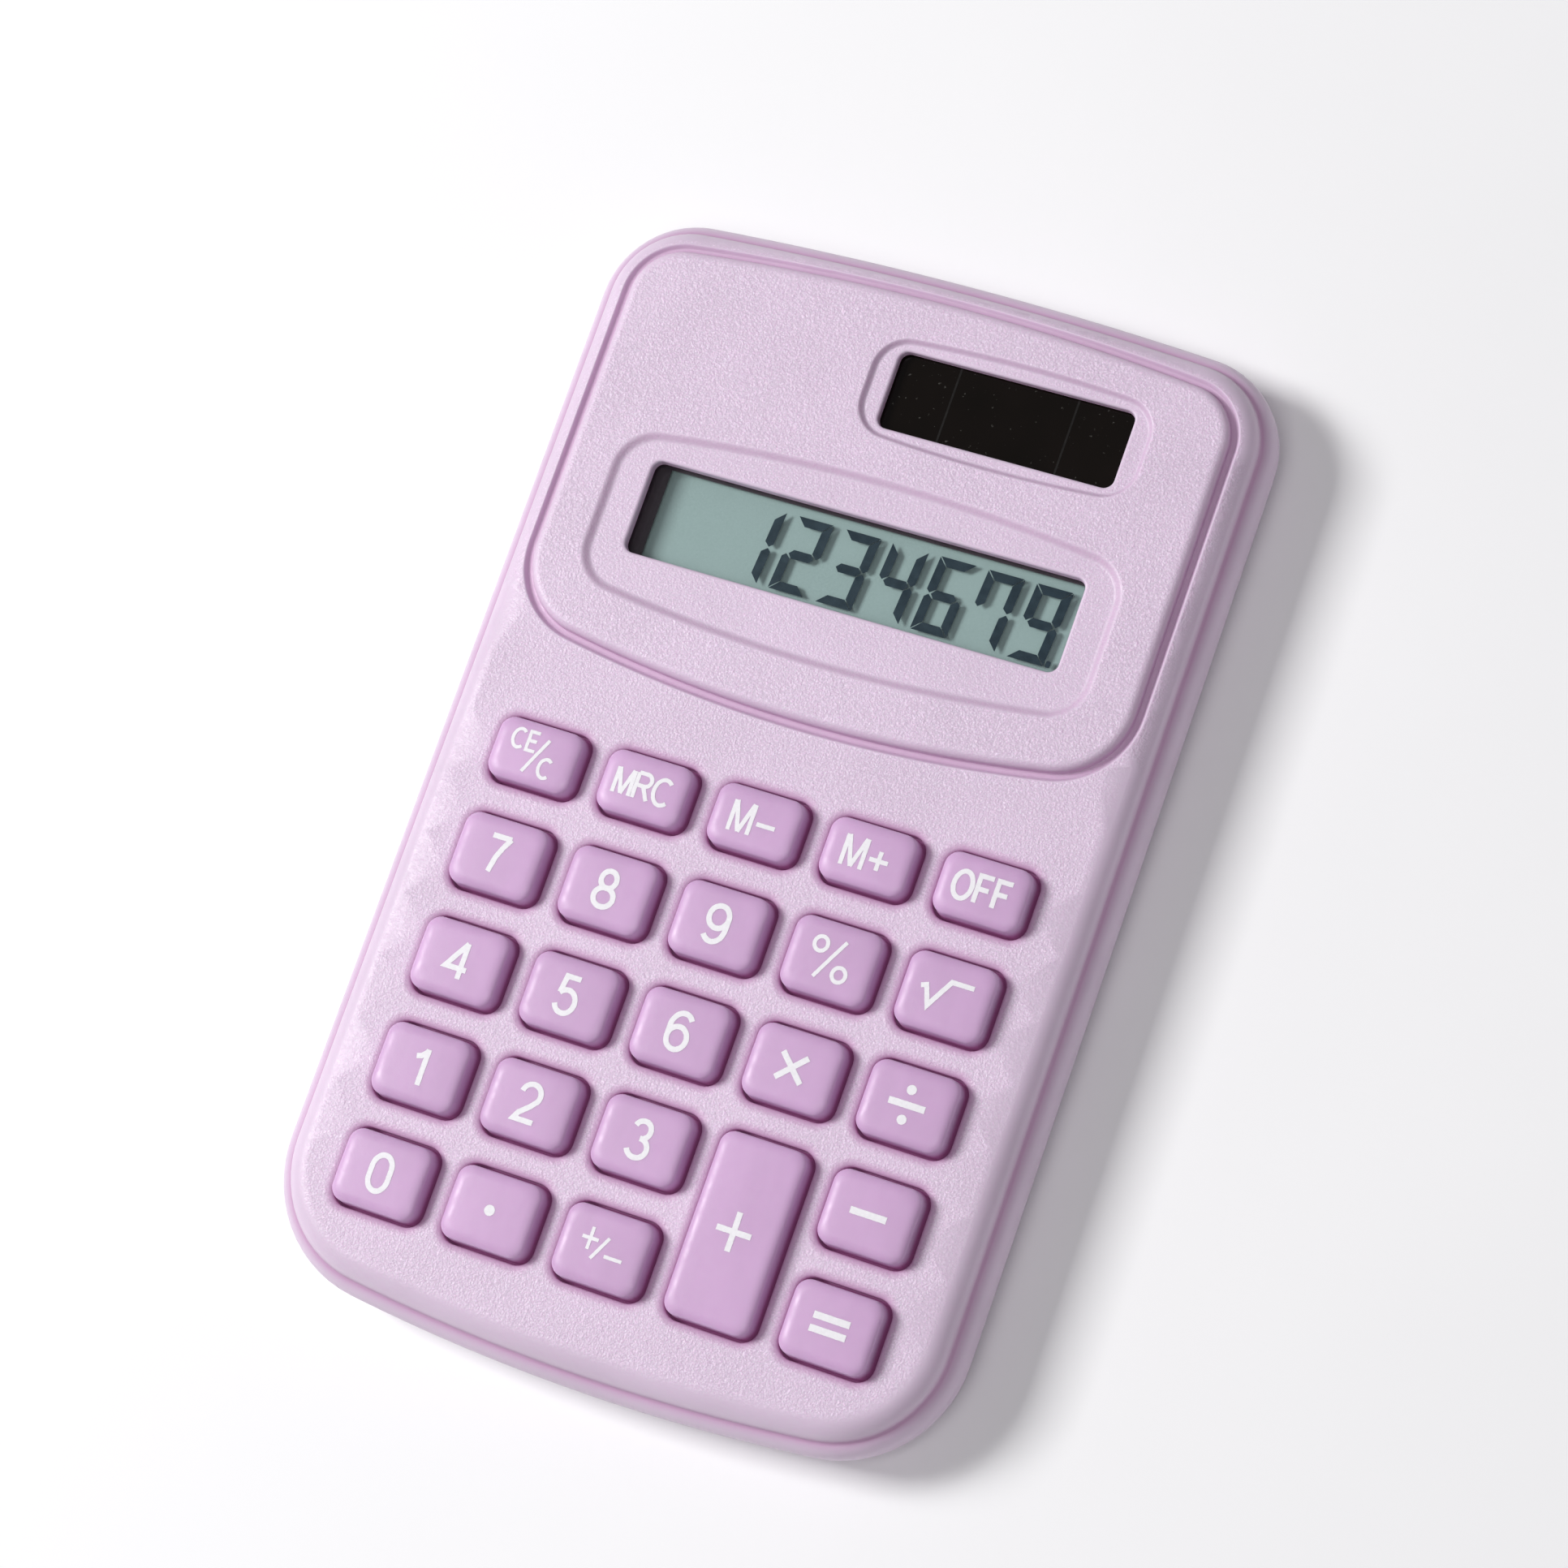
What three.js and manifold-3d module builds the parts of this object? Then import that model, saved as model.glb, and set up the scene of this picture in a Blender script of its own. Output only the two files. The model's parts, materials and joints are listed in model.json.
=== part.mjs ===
// Pocket calculator: two moulded shells, a 24-key pad over a silicone dome mat, an eight-digit liquid
// crystal display, a solar cell and a coin cell behind a sliding door.
// Millimetres. +X right, +Y towards the display end, +Z out of the face.
// The origin is under the middle of the case, on the surface that the calculator lies on.
import * as THREE from "three";
import { mergeVertices } from "three/addons/utils/BufferGeometryUtils.js";
import Module from "manifold-3d";

const wasm = await Module();
wasm.setup();

// ---------------------------------------------------------------- driving dimensions

// Case
const WIDTH = 62.2;
const LENGTH = 100;
const HEIGHT = 10.4; // table to key tops
const KEY_PROUD = 1.75; // key tops above the face
const PANEL_PROUD = 0.65; // display panel above the face
const CROWN_RISE = 2.0; // face above the crease where the crown meets the skirt
const SKIRT_RISE = 2.7; // crease above the parting line
const LEDGE = 1.2; // skirt outside the crown
const EDGE_ROUND = 2.2; // width of the crown's rounded edge
const BOW_TOP = 1.4;
const BOW_BOTTOM = 2.7;
const CORNER_TOP = 8.2;
const CORNER_BOTTOM = 11.2;
const WALL = 1.5;
const FACE_WALL = 1.3;
const FLOOR = 1.3;
const BACK_ROUND = 2.6; // how far the back face's edge lies inside the skirt
const SEAM = 0.15; // gap between the two shells
const TONGUE_WIDTH = 0.5;
const TONGUE_RISE = 0.6;
const TONGUE_INSET = 1.1;

// Display panel, raised from the face inside a narrow groove
const PANEL_SIDE = 3.5; // case edge to panel
const PANEL_TOP = 3.0;
const PANEL_LENGTH = 38.35;
const PANEL_ROUND = 0.45;
const GROOVE_WIDTH = 0.55;
const GROOVE_DEPTH = 0.5;
const BEZEL_DEPTH = 0.45;
const BEZEL_SIDE = 4.3; // panel edge to the display's recess
const DISPLAY_SIDE = 3.35; // recess edge to the display window
const DISPLAY_DOWN = 24.15; // panel top to the window's middle
const DISPLAY_HEIGHT = 8.45;
const DISPLAY_BEZEL_DOWN = 25.0;
const DISPLAY_BEZEL_HEIGHT = 17.1;
const SOLAR_LENGTH = 21.5;
const SOLAR_HEIGHT = 7.05;
const SOLAR_DOWN = 8.4;
const SOLAR_IN = 0.7; // window's right end inside the display window's right end
const SOLAR_BEZEL_MARGIN = 1.85;
const SOLAR_BEZEL_HEIGHT = 9.6;

// Keys
const COLUMNS = 5;
const KEYPAD_SIDE = 5.475; // case edge to the outer column's cell
const KEYPAD_BOTTOM = 8.3; // case end to the lowest keys
const KEYPAD_TOP_GAP = 6.75; // display panel to the top row
const KEY_GAP_X = 2.5;
const KEY_GAP_Y = 3.1;
const TOP_ROW_GAP = 3.3;
const TOP_ROW_SHORTER = 1.0;
const KEY_CORNER = 1.15;
const KEY_DRAFT = 0.12; // each wall's spread from its top to the face
const KEY_ROUND = 0.5;
const KEY_CLEARANCE = 0.3;
const KEY_TRAVEL = 0.9; // down to where the dome's pill meets the board
const KEY_FLANGE = 0.7; // how far the retaining flange stands out from the key
const KEY_FLANGE_THICK = 0.7;

// Inside
const GAP = 0.3; // between pieces that lie next to each other
const BOND = 0.02; // glue line in the display sandwich
const BOARD_THICK = 0.8;
const CAPACITOR_ROOM = 1.1; // left free over the capacitor
const BOARD_Z = 2.5;
const MAT_THICK = 0.6;
const DOME_BASE = 2.8;
const DOME_TOP = 1.7;
const DOME_WALL = 0.5;
const DISPLAY_DROP = 1.15; // recess floor to the display's front
const SOLAR_DROP = 1.0;
const GLASS = 0.55;
const FILM = 0.2;
const GLASS_MARGIN = 2.05; // glass hidden behind each end of the window
const GLASS_LEDGE = 2.5; // contact ledge of the front glass
const SOLAR_THICK = 1.1;
const FOAM_WIDTH = 2.0;
const LEAD_STRIP = 2.6; // board's top edge kept for the leads and the battery contacts
const SOLAR_MARGIN = 1.6;
const BOSS_RADIUS = 1.8;
const SCREW_RADIUS = 0.8;
const SCREW_HEAD_RADIUS = 1.5;
const SCREW_HEAD = 0.9;
const POST_WALL = 0.6; // back shell's post around each screw head
const SCREW_REACH = 3.8; // thread above the board's lower face

// Battery: one LR1130-size cell behind a door that slides out past the case's top end
const CELL_RADIUS = 5.8;
const CELL_HEIGHT = 3.05;
const BAY_DOWN = 12.0; // case end to the cell's middle
const DOOR_MARGIN = 1.7; // door plate beyond the cell on each side
const DOOR_RAIL = 0.7; // how far the door's rails reach into the shell
const DOOR_LIP = 0.6; // thickness of the shell's lip under each rail
const DOOR_FIT = 0.2;

// ---------------------------------------------------------------- levels and places worked out from them

const FACE_Z = HEIGHT - KEY_PROUD;
const PANEL_Z = FACE_Z + PANEL_PROUD;
const CREASE_Z = FACE_Z - CROWN_RISE;
const PART_Z = CREASE_Z - SKIRT_RISE;
const CEILING_Z = FACE_Z - FACE_WALL;
const BEZEL_Z = PANEL_Z - BEZEL_DEPTH;
const BOARD_TOP_Z = BOARD_Z + BOARD_THICK;
const MAT_Z = BOARD_TOP_Z + GAP;
const FLANGE_TOP_Z = CEILING_Z - GAP;
const FLANGE_Z = FLANGE_TOP_Z - KEY_FLANGE_THICK;
const DISPLAY_Z = BEZEL_Z - DISPLAY_DROP;
const SOLAR_Z = BEZEL_Z - SOLAR_DROP;

const SKIRT = {
  half: WIDTH / 2,
  top: LENGTH / 2,
  bottom: -LENGTH / 2,
  bowTop: BOW_TOP,
  bowBottom: BOW_BOTTOM,
  cornerTop: CORNER_TOP,
  cornerBottom: CORNER_BOTTOM,
};
const CAVITY_INSET = LEDGE + WALL;

const PANEL = {
  half: WIDTH / 2 - PANEL_SIDE,
  top: LENGTH / 2 - PANEL_TOP,
  bottom: LENGTH / 2 - PANEL_TOP - PANEL_LENGTH,
  bowTop: 1.8,
  bowBottom: 3.0,
  cornerTop: 4.65,
  cornerBottom: 6.8,
};
const DISPLAY_BEZEL = {
  half: PANEL.half - BEZEL_SIDE,
  top: PANEL.top - DISPLAY_BEZEL_DOWN + DISPLAY_BEZEL_HEIGHT / 2,
  bottom: PANEL.top - DISPLAY_BEZEL_DOWN - DISPLAY_BEZEL_HEIGHT / 2,
  bowTop: 1.7,
  bowBottom: 1.8,
  cornerTop: 3.8,
  cornerBottom: 3.8,
};
const DISPLAY_WIDTH = 2 * (DISPLAY_BEZEL.half - DISPLAY_SIDE);
const DISPLAY_Y = PANEL.top - DISPLAY_DOWN;
const SOLAR_X = DISPLAY_WIDTH / 2 - SOLAR_IN - SOLAR_LENGTH / 2;
const SOLAR_Y = PANEL.top - SOLAR_DOWN;
const SOLAR_BEZEL = {
  half: SOLAR_LENGTH / 2 + SOLAR_BEZEL_MARGIN,
  top: SOLAR_Y + SOLAR_BEZEL_HEIGHT / 2,
  bottom: SOLAR_Y - SOLAR_BEZEL_HEIGHT / 2,
  bowTop: 0.6,
  bowBottom: 0.6,
  cornerTop: 3.0,
  cornerBottom: 3.0,
};

const GLASS_WIDTH = DISPLAY_WIDTH + 2 * GLASS_MARGIN;
const GLASS_TOP = DISPLAY_Y + DISPLAY_HEIGHT / 2 + GLASS_MARGIN;
const GLASS_BOTTOM = DISPLAY_Y - DISPLAY_HEIGHT / 2 - GLASS_MARGIN;
const LEDGE_BOTTOM = GLASS_BOTTOM - GLASS_LEDGE;

const PITCH_X = (WIDTH - 2 * KEYPAD_SIDE) / COLUMNS;
const KEY_WIDTH = PITCH_X - KEY_GAP_X;
const KEYPAD_LOW = -LENGTH / 2 + KEYPAD_BOTTOM;
const KEYPAD_HIGH = PANEL.bottom - KEYPAD_TOP_GAP;
const ROW_GAPS = 3 * KEY_GAP_Y + TOP_ROW_GAP;
const KEY_HEIGHT = (KEYPAD_HIGH - KEYPAD_LOW - ROW_GAPS + TOP_ROW_SHORTER) / 5;
const TOP_KEY_HEIGHT = KEY_HEIGHT - TOP_ROW_SHORTER;
const PITCH_Y = KEY_HEIGHT + KEY_GAP_Y;
const TALL_KEY_HEIGHT = KEY_HEIGHT + PITCH_Y;

// Keypad rows from the top, left to right. The plus key is tall and fills two rows.
const KEY_ROWS = [
  ["ce_c", "mrc", "m_minus", "m_plus", "off"],
  ["7", "8", "9", "percent", "root"],
  ["4", "5", "6", "multiply", "divide"],
  ["1", "2", "3", null, "minus"],
  ["0", "point", "sign", null, "equals"],
];
const PLUS_COLUMN = 3;

const BOSS_TOP = { x: WIDTH / 2 - CAVITY_INSET - 4.1, y: LENGTH / 2 - CAVITY_INSET - 4.1 };
const BOSS_BOTTOM = { x: 1.8 * PITCH_X, y: KEYPAD_LOW - KEY_FLANGE - GAP - BOSS_RADIUS };
const BOARD_SCREW = { x: BOSS_TOP.x, y: PANEL.bottom + 0.2 };

const POST_RADIUS = SCREW_HEAD_RADIUS + GAP + POST_WALL;
const DOOR_HALF = CELL_RADIUS + DOOR_MARGIN;
const BAY = {
  x: -BOSS_TOP.x + POST_RADIUS + GAP + DOOR_FIT + DOOR_RAIL + DOOR_HALF,
  y: LENGTH / 2 - BAY_DOWN,
};
const BAY_RADIUS = CELL_RADIUS + 0.4;
const BAY_WALL_RADIUS = BAY_RADIUS + 1.0;
const DOOR_TOP_Z = FLOOR - 0.05;
const DOOR_LOW_Y = BAY.y - DOOR_HALF;
const CELL_Z = DOOR_TOP_Z + GAP;
const PAD_Z = CELL_Z + 0.5;
const BAY_WALL_Z = CELL_Z + CELL_HEIGHT + 0.2;

const BOARD = {
  half: WIDTH / 2 - CAVITY_INSET - 1.6,
  top: BAY.y - DOOR_HALF - 0.2,
  bottom: BOSS_BOTTOM.y + BOSS_RADIUS + GAP,
};
const MAT = {
  half: (COLUMNS * PITCH_X) / 2 - 0.4,
  top: KEYPAD_HIGH + 1.7,
  bottom: BOARD.bottom + 0.2,
};

// ---------------------------------------------------------------- materials

function plastic(color, roughness = 0.5) {
  return new THREE.MeshStandardMaterial({ color, roughness, metalness: 0 });
}

function metal(color, roughness = 0.35) {
  return new THREE.MeshStandardMaterial({ color, roughness, metalness: 1 });
}

const MATERIALS = {
  shell: plastic(0xdbc8dc),
  key: plastic(0xcdaad1, 0.4),
  silicone: plastic(0xd9d9d4, 0.7),
  board: plastic(0xb08a4a, 0.55),
  epoxy: plastic(0x111111, 0.3),
  glass: plastic(0x8da3a2, 0.15),
  film: plastic(0x7f9694, 0.3),
  reflector: plastic(0xb9c2bd, 0.3),
  zebra: plastic(0xd8cfc4, 0.7),
  foam: plastic(0x2b2b2e, 0.95),
  solar: plastic(0x1a1814, 0.15),
  steel: metal(0xb9bcc0),
  screw: metal(0x8f9296),
  red: plastic(0xa02820, 0.5),
  black: plastic(0x1c1c1e, 0.5),
};

// ---------------------------------------------------------------- outlines, as arrays of 2-D points

// Points of an arc from one angle to another, without its last point.
function arc(x, y, radius, from, to, steps) {
  return Array.from({ length: steps }, (_, i) => {
    const angle = from + ((to - from) * i) / steps;
    return new THREE.Vector2(x + radius * Math.cos(angle), y + radius * Math.sin(angle));
  });
}

// The arc across one end of a bowed outline and the corner arc that runs into it without a kink.
function bowedEnd(half, bow, corner) {
  const radius = (half * half + bow * bow) / (2 * bow);
  const cornerX = half - corner;
  const cornerRise = Math.sqrt((radius - corner) ** 2 - cornerX ** 2);
  return { radius, cornerX, cornerRise, angle: Math.atan2(cornerRise, cornerX) };
}

// A rectangle with straight sides, bowed ends and round corners, moved in all round by inset.
function bowedOutline(o, inset = 0) {
  const top = bowedEnd(o.half, o.bowTop, o.cornerTop);
  const bottom = bowedEnd(o.half, o.bowBottom, o.cornerBottom);
  const topY = o.top - top.radius;
  const bottomY = o.bottom + bottom.radius;
  const topCornerY = topY + top.cornerRise;
  const bottomCornerY = bottomY - bottom.cornerRise;
  const topCorner = o.cornerTop - inset;
  const bottomCorner = o.cornerBottom - inset;
  const halfTurn = Math.PI;
  const fullTurn = 2 * Math.PI;
  return [
    ...arc(top.cornerX, topCornerY, topCorner, 0, top.angle, 8),
    ...arc(0, topY, top.radius - inset, top.angle, halfTurn - top.angle, 8),
    ...arc(-top.cornerX, topCornerY, topCorner, halfTurn - top.angle, halfTurn, 8),
    new THREE.Vector2(-o.half + inset, topCornerY),
    ...arc(-bottom.cornerX, bottomCornerY, bottomCorner, halfTurn, halfTurn + bottom.angle, 8),
    ...arc(0, bottomY, bottom.radius - inset, halfTurn + bottom.angle, fullTurn - bottom.angle, 8),
    ...arc(bottom.cornerX, bottomCornerY, bottomCorner, fullTurn - bottom.angle, fullTurn, 8),
    new THREE.Vector2(o.half - inset, bottomCornerY),
  ];
}

function roundedRectangle(width, height, corner, x = 0, y = 0, steps = 3) {
  const r = Math.min(corner, width / 2 - 0.05, height / 2 - 0.05);
  const cx = width / 2 - r;
  const cy = height / 2 - r;
  const quarter = Math.PI / 2;
  const corners = [
    [cx, cy],
    [-cx, cy],
    [-cx, -cy],
    [cx, -cy],
  ];
  return corners.flatMap(([px, py], i) => [
    ...arc(x + px, y + py, r, i * quarter, (i + 1) * quarter, steps),
    new THREE.Vector2(x + px + r * Math.cos((i + 1) * quarter), y + py + r * Math.sin((i + 1) * quarter)),
  ]);
}

function rectangle(x0, x1, y0, y1) {
  const corners = [[x0, y0], [x1, y0], [x1, y1], [x0, y1]];
  return corners.map(([x, y]) => new THREE.Vector2(x, y));
}

function circle(x, y, radius, steps = 20) {
  return arc(x, y, radius, 0, 2 * Math.PI, steps);
}

// Heights and insets along a quarter ellipse, from an upright wall to a level face.
function roundOver(z0, z1, inset0, inset1, steps) {
  return Array.from({ length: steps + 1 }, (_, i) => {
    const angle = (i / steps) * (Math.PI / 2);
    return [z0 + (z1 - z0) * Math.sin(angle), inset0 + (inset1 - inset0) * (1 - Math.cos(angle))];
  });
}

// ---------------------------------------------------------------- solids

function solidOf(geometry) {
  geometry.deleteAttribute("normal");
  geometry.deleteAttribute("uv");
  const merged = mergeVertices(geometry, 1e-4);
  const vertProperties = merged.attributes.position.array;
  const triVerts = new Uint32Array(merged.index.array);
  return new wasm.Manifold(new wasm.Mesh({ numProp: 3, vertProperties, triVerts }));
}

function geometryOf(solid) {
  const mesh = solid.getMesh();
  const geometry = new THREE.BufferGeometry();
  geometry.setAttribute("position", new THREE.BufferAttribute(mesh.vertProperties, 3));
  geometry.setIndex(new THREE.BufferAttribute(mesh.triVerts, 1));
  return geometry;
}

// An upright prism over an outline.
function prism(points, z0, z1) {
  const options = { depth: z1 - z0, bevelEnabled: false };
  const geometry = new THREE.ExtrudeGeometry(new THREE.Shape(points), options);
  return solidOf(geometry.translate(0, 0, z0));
}

function box(x0, x1, y0, y1, z0, z1) {
  return prism(rectangle(x0, x1, y0, y1), z0, z1);
}

function cylinder(x, y, radius, z0, z1, steps = 20) {
  return prism(circle(x, y, radius, steps), z0, z1);
}

// A solid through level rings of equal point counts, closed by flat ends: [[z, points], ...] upwards.
function loft(rings) {
  const count = rings[0][1].length;
  const positions = rings.flatMap(([z, points]) => points.flatMap((p) => [p.x, p.y, z]));
  const cap = THREE.ShapeUtils.triangulateShape(rings[0][1], []);
  const last = (rings.length - 1) * count;
  const index = [];
  for (let ring = 0; ring < rings.length - 1; ring++) {
    for (let i = 0; i < count; i++) {
      const next = (i + 1) % count;
      const a = ring * count + i;
      const b = ring * count + next;
      index.push(a, b, b + count, a, b + count, a + count);
    }
  }
  for (const [a, b, c] of cap) {
    index.push(a, c, b, last + a, last + b, last + c);
  }
  const geometry = new THREE.BufferGeometry();
  geometry.setAttribute("position", new THREE.Float32BufferAttribute(positions, 3));
  geometry.setIndex(index);
  return solidOf(geometry);
}

// A loft of one bowed outline along a profile of [z, inset] pairs.
function bowedLoft(outline, profile) {
  return loft(profile.map(([z, inset]) => [z, bowedOutline(outline, inset)]));
}

// A bent strip: a path in the (y, z) plane given its thickness, across x0 to x1.
function strip(path, thickness, x0, x1) {
  const points = path.map(([y, z]) => new THREE.Vector2(y, z));
  const offset = points.map((point, i) => {
    const before = points[Math.max(i - 1, 0)];
    const after = points[Math.min(i + 1, points.length - 1)];
    const into = point.clone().sub(before).normalize();
    const out = after.clone().sub(point).normalize();
    const along = into.add(out).normalize();
    const normal = new THREE.Vector2(-along.y, along.x);
    const edge = i === 0 ? out : point.clone().sub(before).normalize();
    const spread = Math.abs(normal.dot(new THREE.Vector2(-edge.y, edge.x)));
    return point.clone().addScaledVector(normal, thickness / spread);
  });
  const shape = new THREE.Shape([...points, ...offset.reverse()]);
  const geometry = new THREE.ExtrudeGeometry(shape, { depth: x1 - x0, bevelEnabled: false });
  // The shape's x, y and depth become y, z and x.
  geometry.applyMatrix4(new THREE.Matrix4().set(0, 0, 1, x0, 1, 0, 0, 0, 0, 1, 0, 0, 0, 0, 0, 1));
  return solidOf(geometry);
}

function wire(points, radius, steps) {
  const path = new THREE.CatmullRomCurve3(points.map((p) => new THREE.Vector3(...p)));
  const section = new THREE.Shape(circle(0, 0, radius, 8));
  return solidOf(new THREE.ExtrudeGeometry(section, { steps, extrudePath: path, bevelEnabled: false }));
}

// A solid of revolution about Z from a profile of [radius, z] pairs that starts and ends on the axis.
function turned(profile, steps = 20) {
  const points = profile.map(([r, z]) => new THREE.Vector2(r, z));
  return solidOf(new THREE.LatheGeometry(points, steps).rotateX(Math.PI / 2));
}

// ---------------------------------------------------------------- scene graph

const calculator = new THREE.Group();

function group(parent = calculator) {
  const made = new THREE.Group();
  parent.add(made);
  return made;
}

function place(parent, name, solid, material, x = 0, y = 0, z = 0) {
  const mesh = new THREE.Mesh(geometryOf(solid), material);
  mesh.name = name;
  mesh.position.set(x, y, z);
  parent.add(mesh);
}

// ---------------------------------------------------------------- keypad layout

function keyPlaces() {
  const places = KEY_ROWS.flatMap((row, r) => {
    const height = r === 0 ? TOP_KEY_HEIGHT : KEY_HEIGHT;
    const low = KEYPAD_LOW + (KEY_ROWS.length - 1 - r) * PITCH_Y;
    const y = r === 0 ? KEYPAD_HIGH - TOP_KEY_HEIGHT / 2 : low + KEY_HEIGHT / 2;
    return row.map((name, c) => ({ name, x: (c - (COLUMNS - 1) / 2) * PITCH_X, y, height }));
  });
  const x = (PLUS_COLUMN - (COLUMNS - 1) / 2) * PITCH_X;
  const plus = { name: "plus", x, y: KEYPAD_LOW + TALL_KEY_HEIGHT / 2, height: TALL_KEY_HEIGHT };
  return [...places.filter((place) => place.name), plus];
}

const KEYS = keyPlaces();

// ---------------------------------------------------------------- shells

const CASE_BOSSES = [
  { x: -BOSS_TOP.x, y: BOSS_TOP.y },
  { x: BOSS_TOP.x, y: BOSS_TOP.y },
  { x: -BOSS_BOTTOM.x, y: BOSS_BOTTOM.y },
  { x: BOSS_BOTTOM.x, y: BOSS_BOTTOM.y },
];
const BOARD_SCREWS = [
  { x: -BOARD_SCREW.x, y: BOARD_SCREW.y },
  { x: BOARD_SCREW.x, y: BOARD_SCREW.y },
];

// The part of the tongue and groove between two insets of the case outline.
function rimBand(outerInset, innerInset, z0, z1) {
  const outer = bowedLoft(SKIRT, [[z0, outerInset], [z1, outerInset]]);
  const inner = bowedLoft(SKIRT, [[z0 - 1, innerInset], [z1 + 1, innerInset]]);
  return outer.subtract(inner);
}

function frontOuter() {
  const skirt = roundOver(PART_Z + 1, CREASE_Z, 0, LEDGE, 4);
  const crown = roundOver(CREASE_Z, FACE_Z, LEDGE, LEDGE + EDGE_ROUND, 5).slice(1);
  const body = bowedLoft(SKIRT, [[PART_Z + SEAM / 2, 0], ...skirt, ...crown]);
  const grooveZ = FACE_Z - GROOVE_DEPTH;
  const moat = bowedLoft(PANEL, [[grooveZ, -GROOVE_WIDTH], [PANEL_Z + 1, -GROOVE_WIDTH]]);
  const edge = roundOver(PANEL_Z - PANEL_ROUND, PANEL_Z, 0, PANEL_ROUND, 3);
  const panel = bowedLoft(PANEL, [[grooveZ - 0.2, 0], ...edge]);
  return body.subtract(moat).add(panel);
}

// A shallow recess with sloping sides and a window through its floor.
function bezelCut(outline, x) {
  const profile = [[BEZEL_Z, 0.5], [PANEL_Z, 0], [PANEL_Z + 1, 0]];
  const cut = bowedLoft(outline, profile);
  return cut.translate([x, 0, 0]);
}

function windowCut(width, height, x, y) {
  return prism(roundedRectangle(width, height, 1.0, x, y), CEILING_Z - 1, PANEL_Z + 1);
}

function frontShell() {
  let shell = frontOuter();
  shell = shell.subtract(bowedLoft(SKIRT, [[0, CAVITY_INSET], [CEILING_Z, CAVITY_INSET]]));
  const grooveIn = TONGUE_INSET - GAP;
  const grooveOut = TONGUE_INSET + TONGUE_WIDTH + GAP;
  shell = shell.subtract(rimBand(grooveIn, grooveOut, 0, PART_Z + TONGUE_RISE + GAP));
  shell = shell.subtract(bezelCut(DISPLAY_BEZEL, 0)).subtract(bezelCut(SOLAR_BEZEL, SOLAR_X));
  shell = shell.subtract(windowCut(DISPLAY_WIDTH, DISPLAY_HEIGHT, 0, DISPLAY_Y));
  shell = shell.subtract(windowCut(SOLAR_LENGTH, SOLAR_HEIGHT, SOLAR_X, SOLAR_Y));
  const glassHalf = GLASS_WIDTH / 2 + GAP;
  shell = shell.subtract(
    box(-glassHalf, glassHalf, LEDGE_BOTTOM - GAP, GLASS_TOP + GAP, CEILING_Z - 1, DISPLAY_Z + GAP),
  );
  const cellHalf = SOLAR_LENGTH / 2 + SOLAR_MARGIN + GAP;
  const cellRise = SOLAR_HEIGHT / 2 + SOLAR_MARGIN + GAP;
  shell = shell.subtract(
    box(SOLAR_X - cellHalf, SOLAR_X + cellHalf, SOLAR_Y - cellRise, SOLAR_Y + cellRise,
      CEILING_Z - 1, SOLAR_Z + GAP),
  );
  for (const key of KEYS) {
    const spread = 2 * (KEY_DRAFT + KEY_CLEARANCE);
    const hole = roundedRectangle(
      KEY_WIDTH + spread, key.height + spread, KEY_CORNER + KEY_CLEARANCE, key.x, key.y,
    );
    shell = shell.subtract(prism(hole, CEILING_Z - 1, FACE_Z + 1));
  }
  for (const { x, y } of CASE_BOSSES) {
    const boss = cylinder(x, y, BOSS_RADIUS, BOARD_Z, CEILING_Z + 0.3, 14);
    shell = shell.add(boss);
    shell = shell.subtract(cylinder(x, y, SCREW_RADIUS + GAP, 0, BOARD_Z + SCREW_REACH + GAP, 12));
  }
  for (const { x, y } of BOARD_SCREWS) {
    const boss = cylinder(x, y, BOSS_RADIUS, BOARD_TOP_Z + GAP, CEILING_Z + 0.3, 14);
    shell = shell.add(boss);
    shell = shell.subtract(cylinder(x, y, SCREW_RADIUS + GAP, 0, BOARD_Z + SCREW_REACH + GAP, 12));
  }
  return shell;
}

// The back shell's outside: level back face, rounded edge and a lightly drafted wall.
function backOuter(top = PART_Z - SEAM / 2) {
  const round = roundOver(1.6, 0, 0.75, BACK_ROUND, 4).reverse();
  return bowedLoft(SKIRT, [...round, [top, 0.15]]);
}

// The door's place in the back shell, with grow all round: a plate on two rails.
function doorSpace(grow, lowY, highY) {
  const lower = box(BAY.x - DOOR_HALF - grow, BAY.x + DOOR_HALF + grow, lowY, highY, -1, DOOR_TOP_Z + grow);
  const reach = DOOR_HALF + DOOR_RAIL + grow;
  return lower.add(box(BAY.x - reach, BAY.x + reach, lowY, highY, DOOR_LIP, DOOR_TOP_Z + grow));
}

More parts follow.
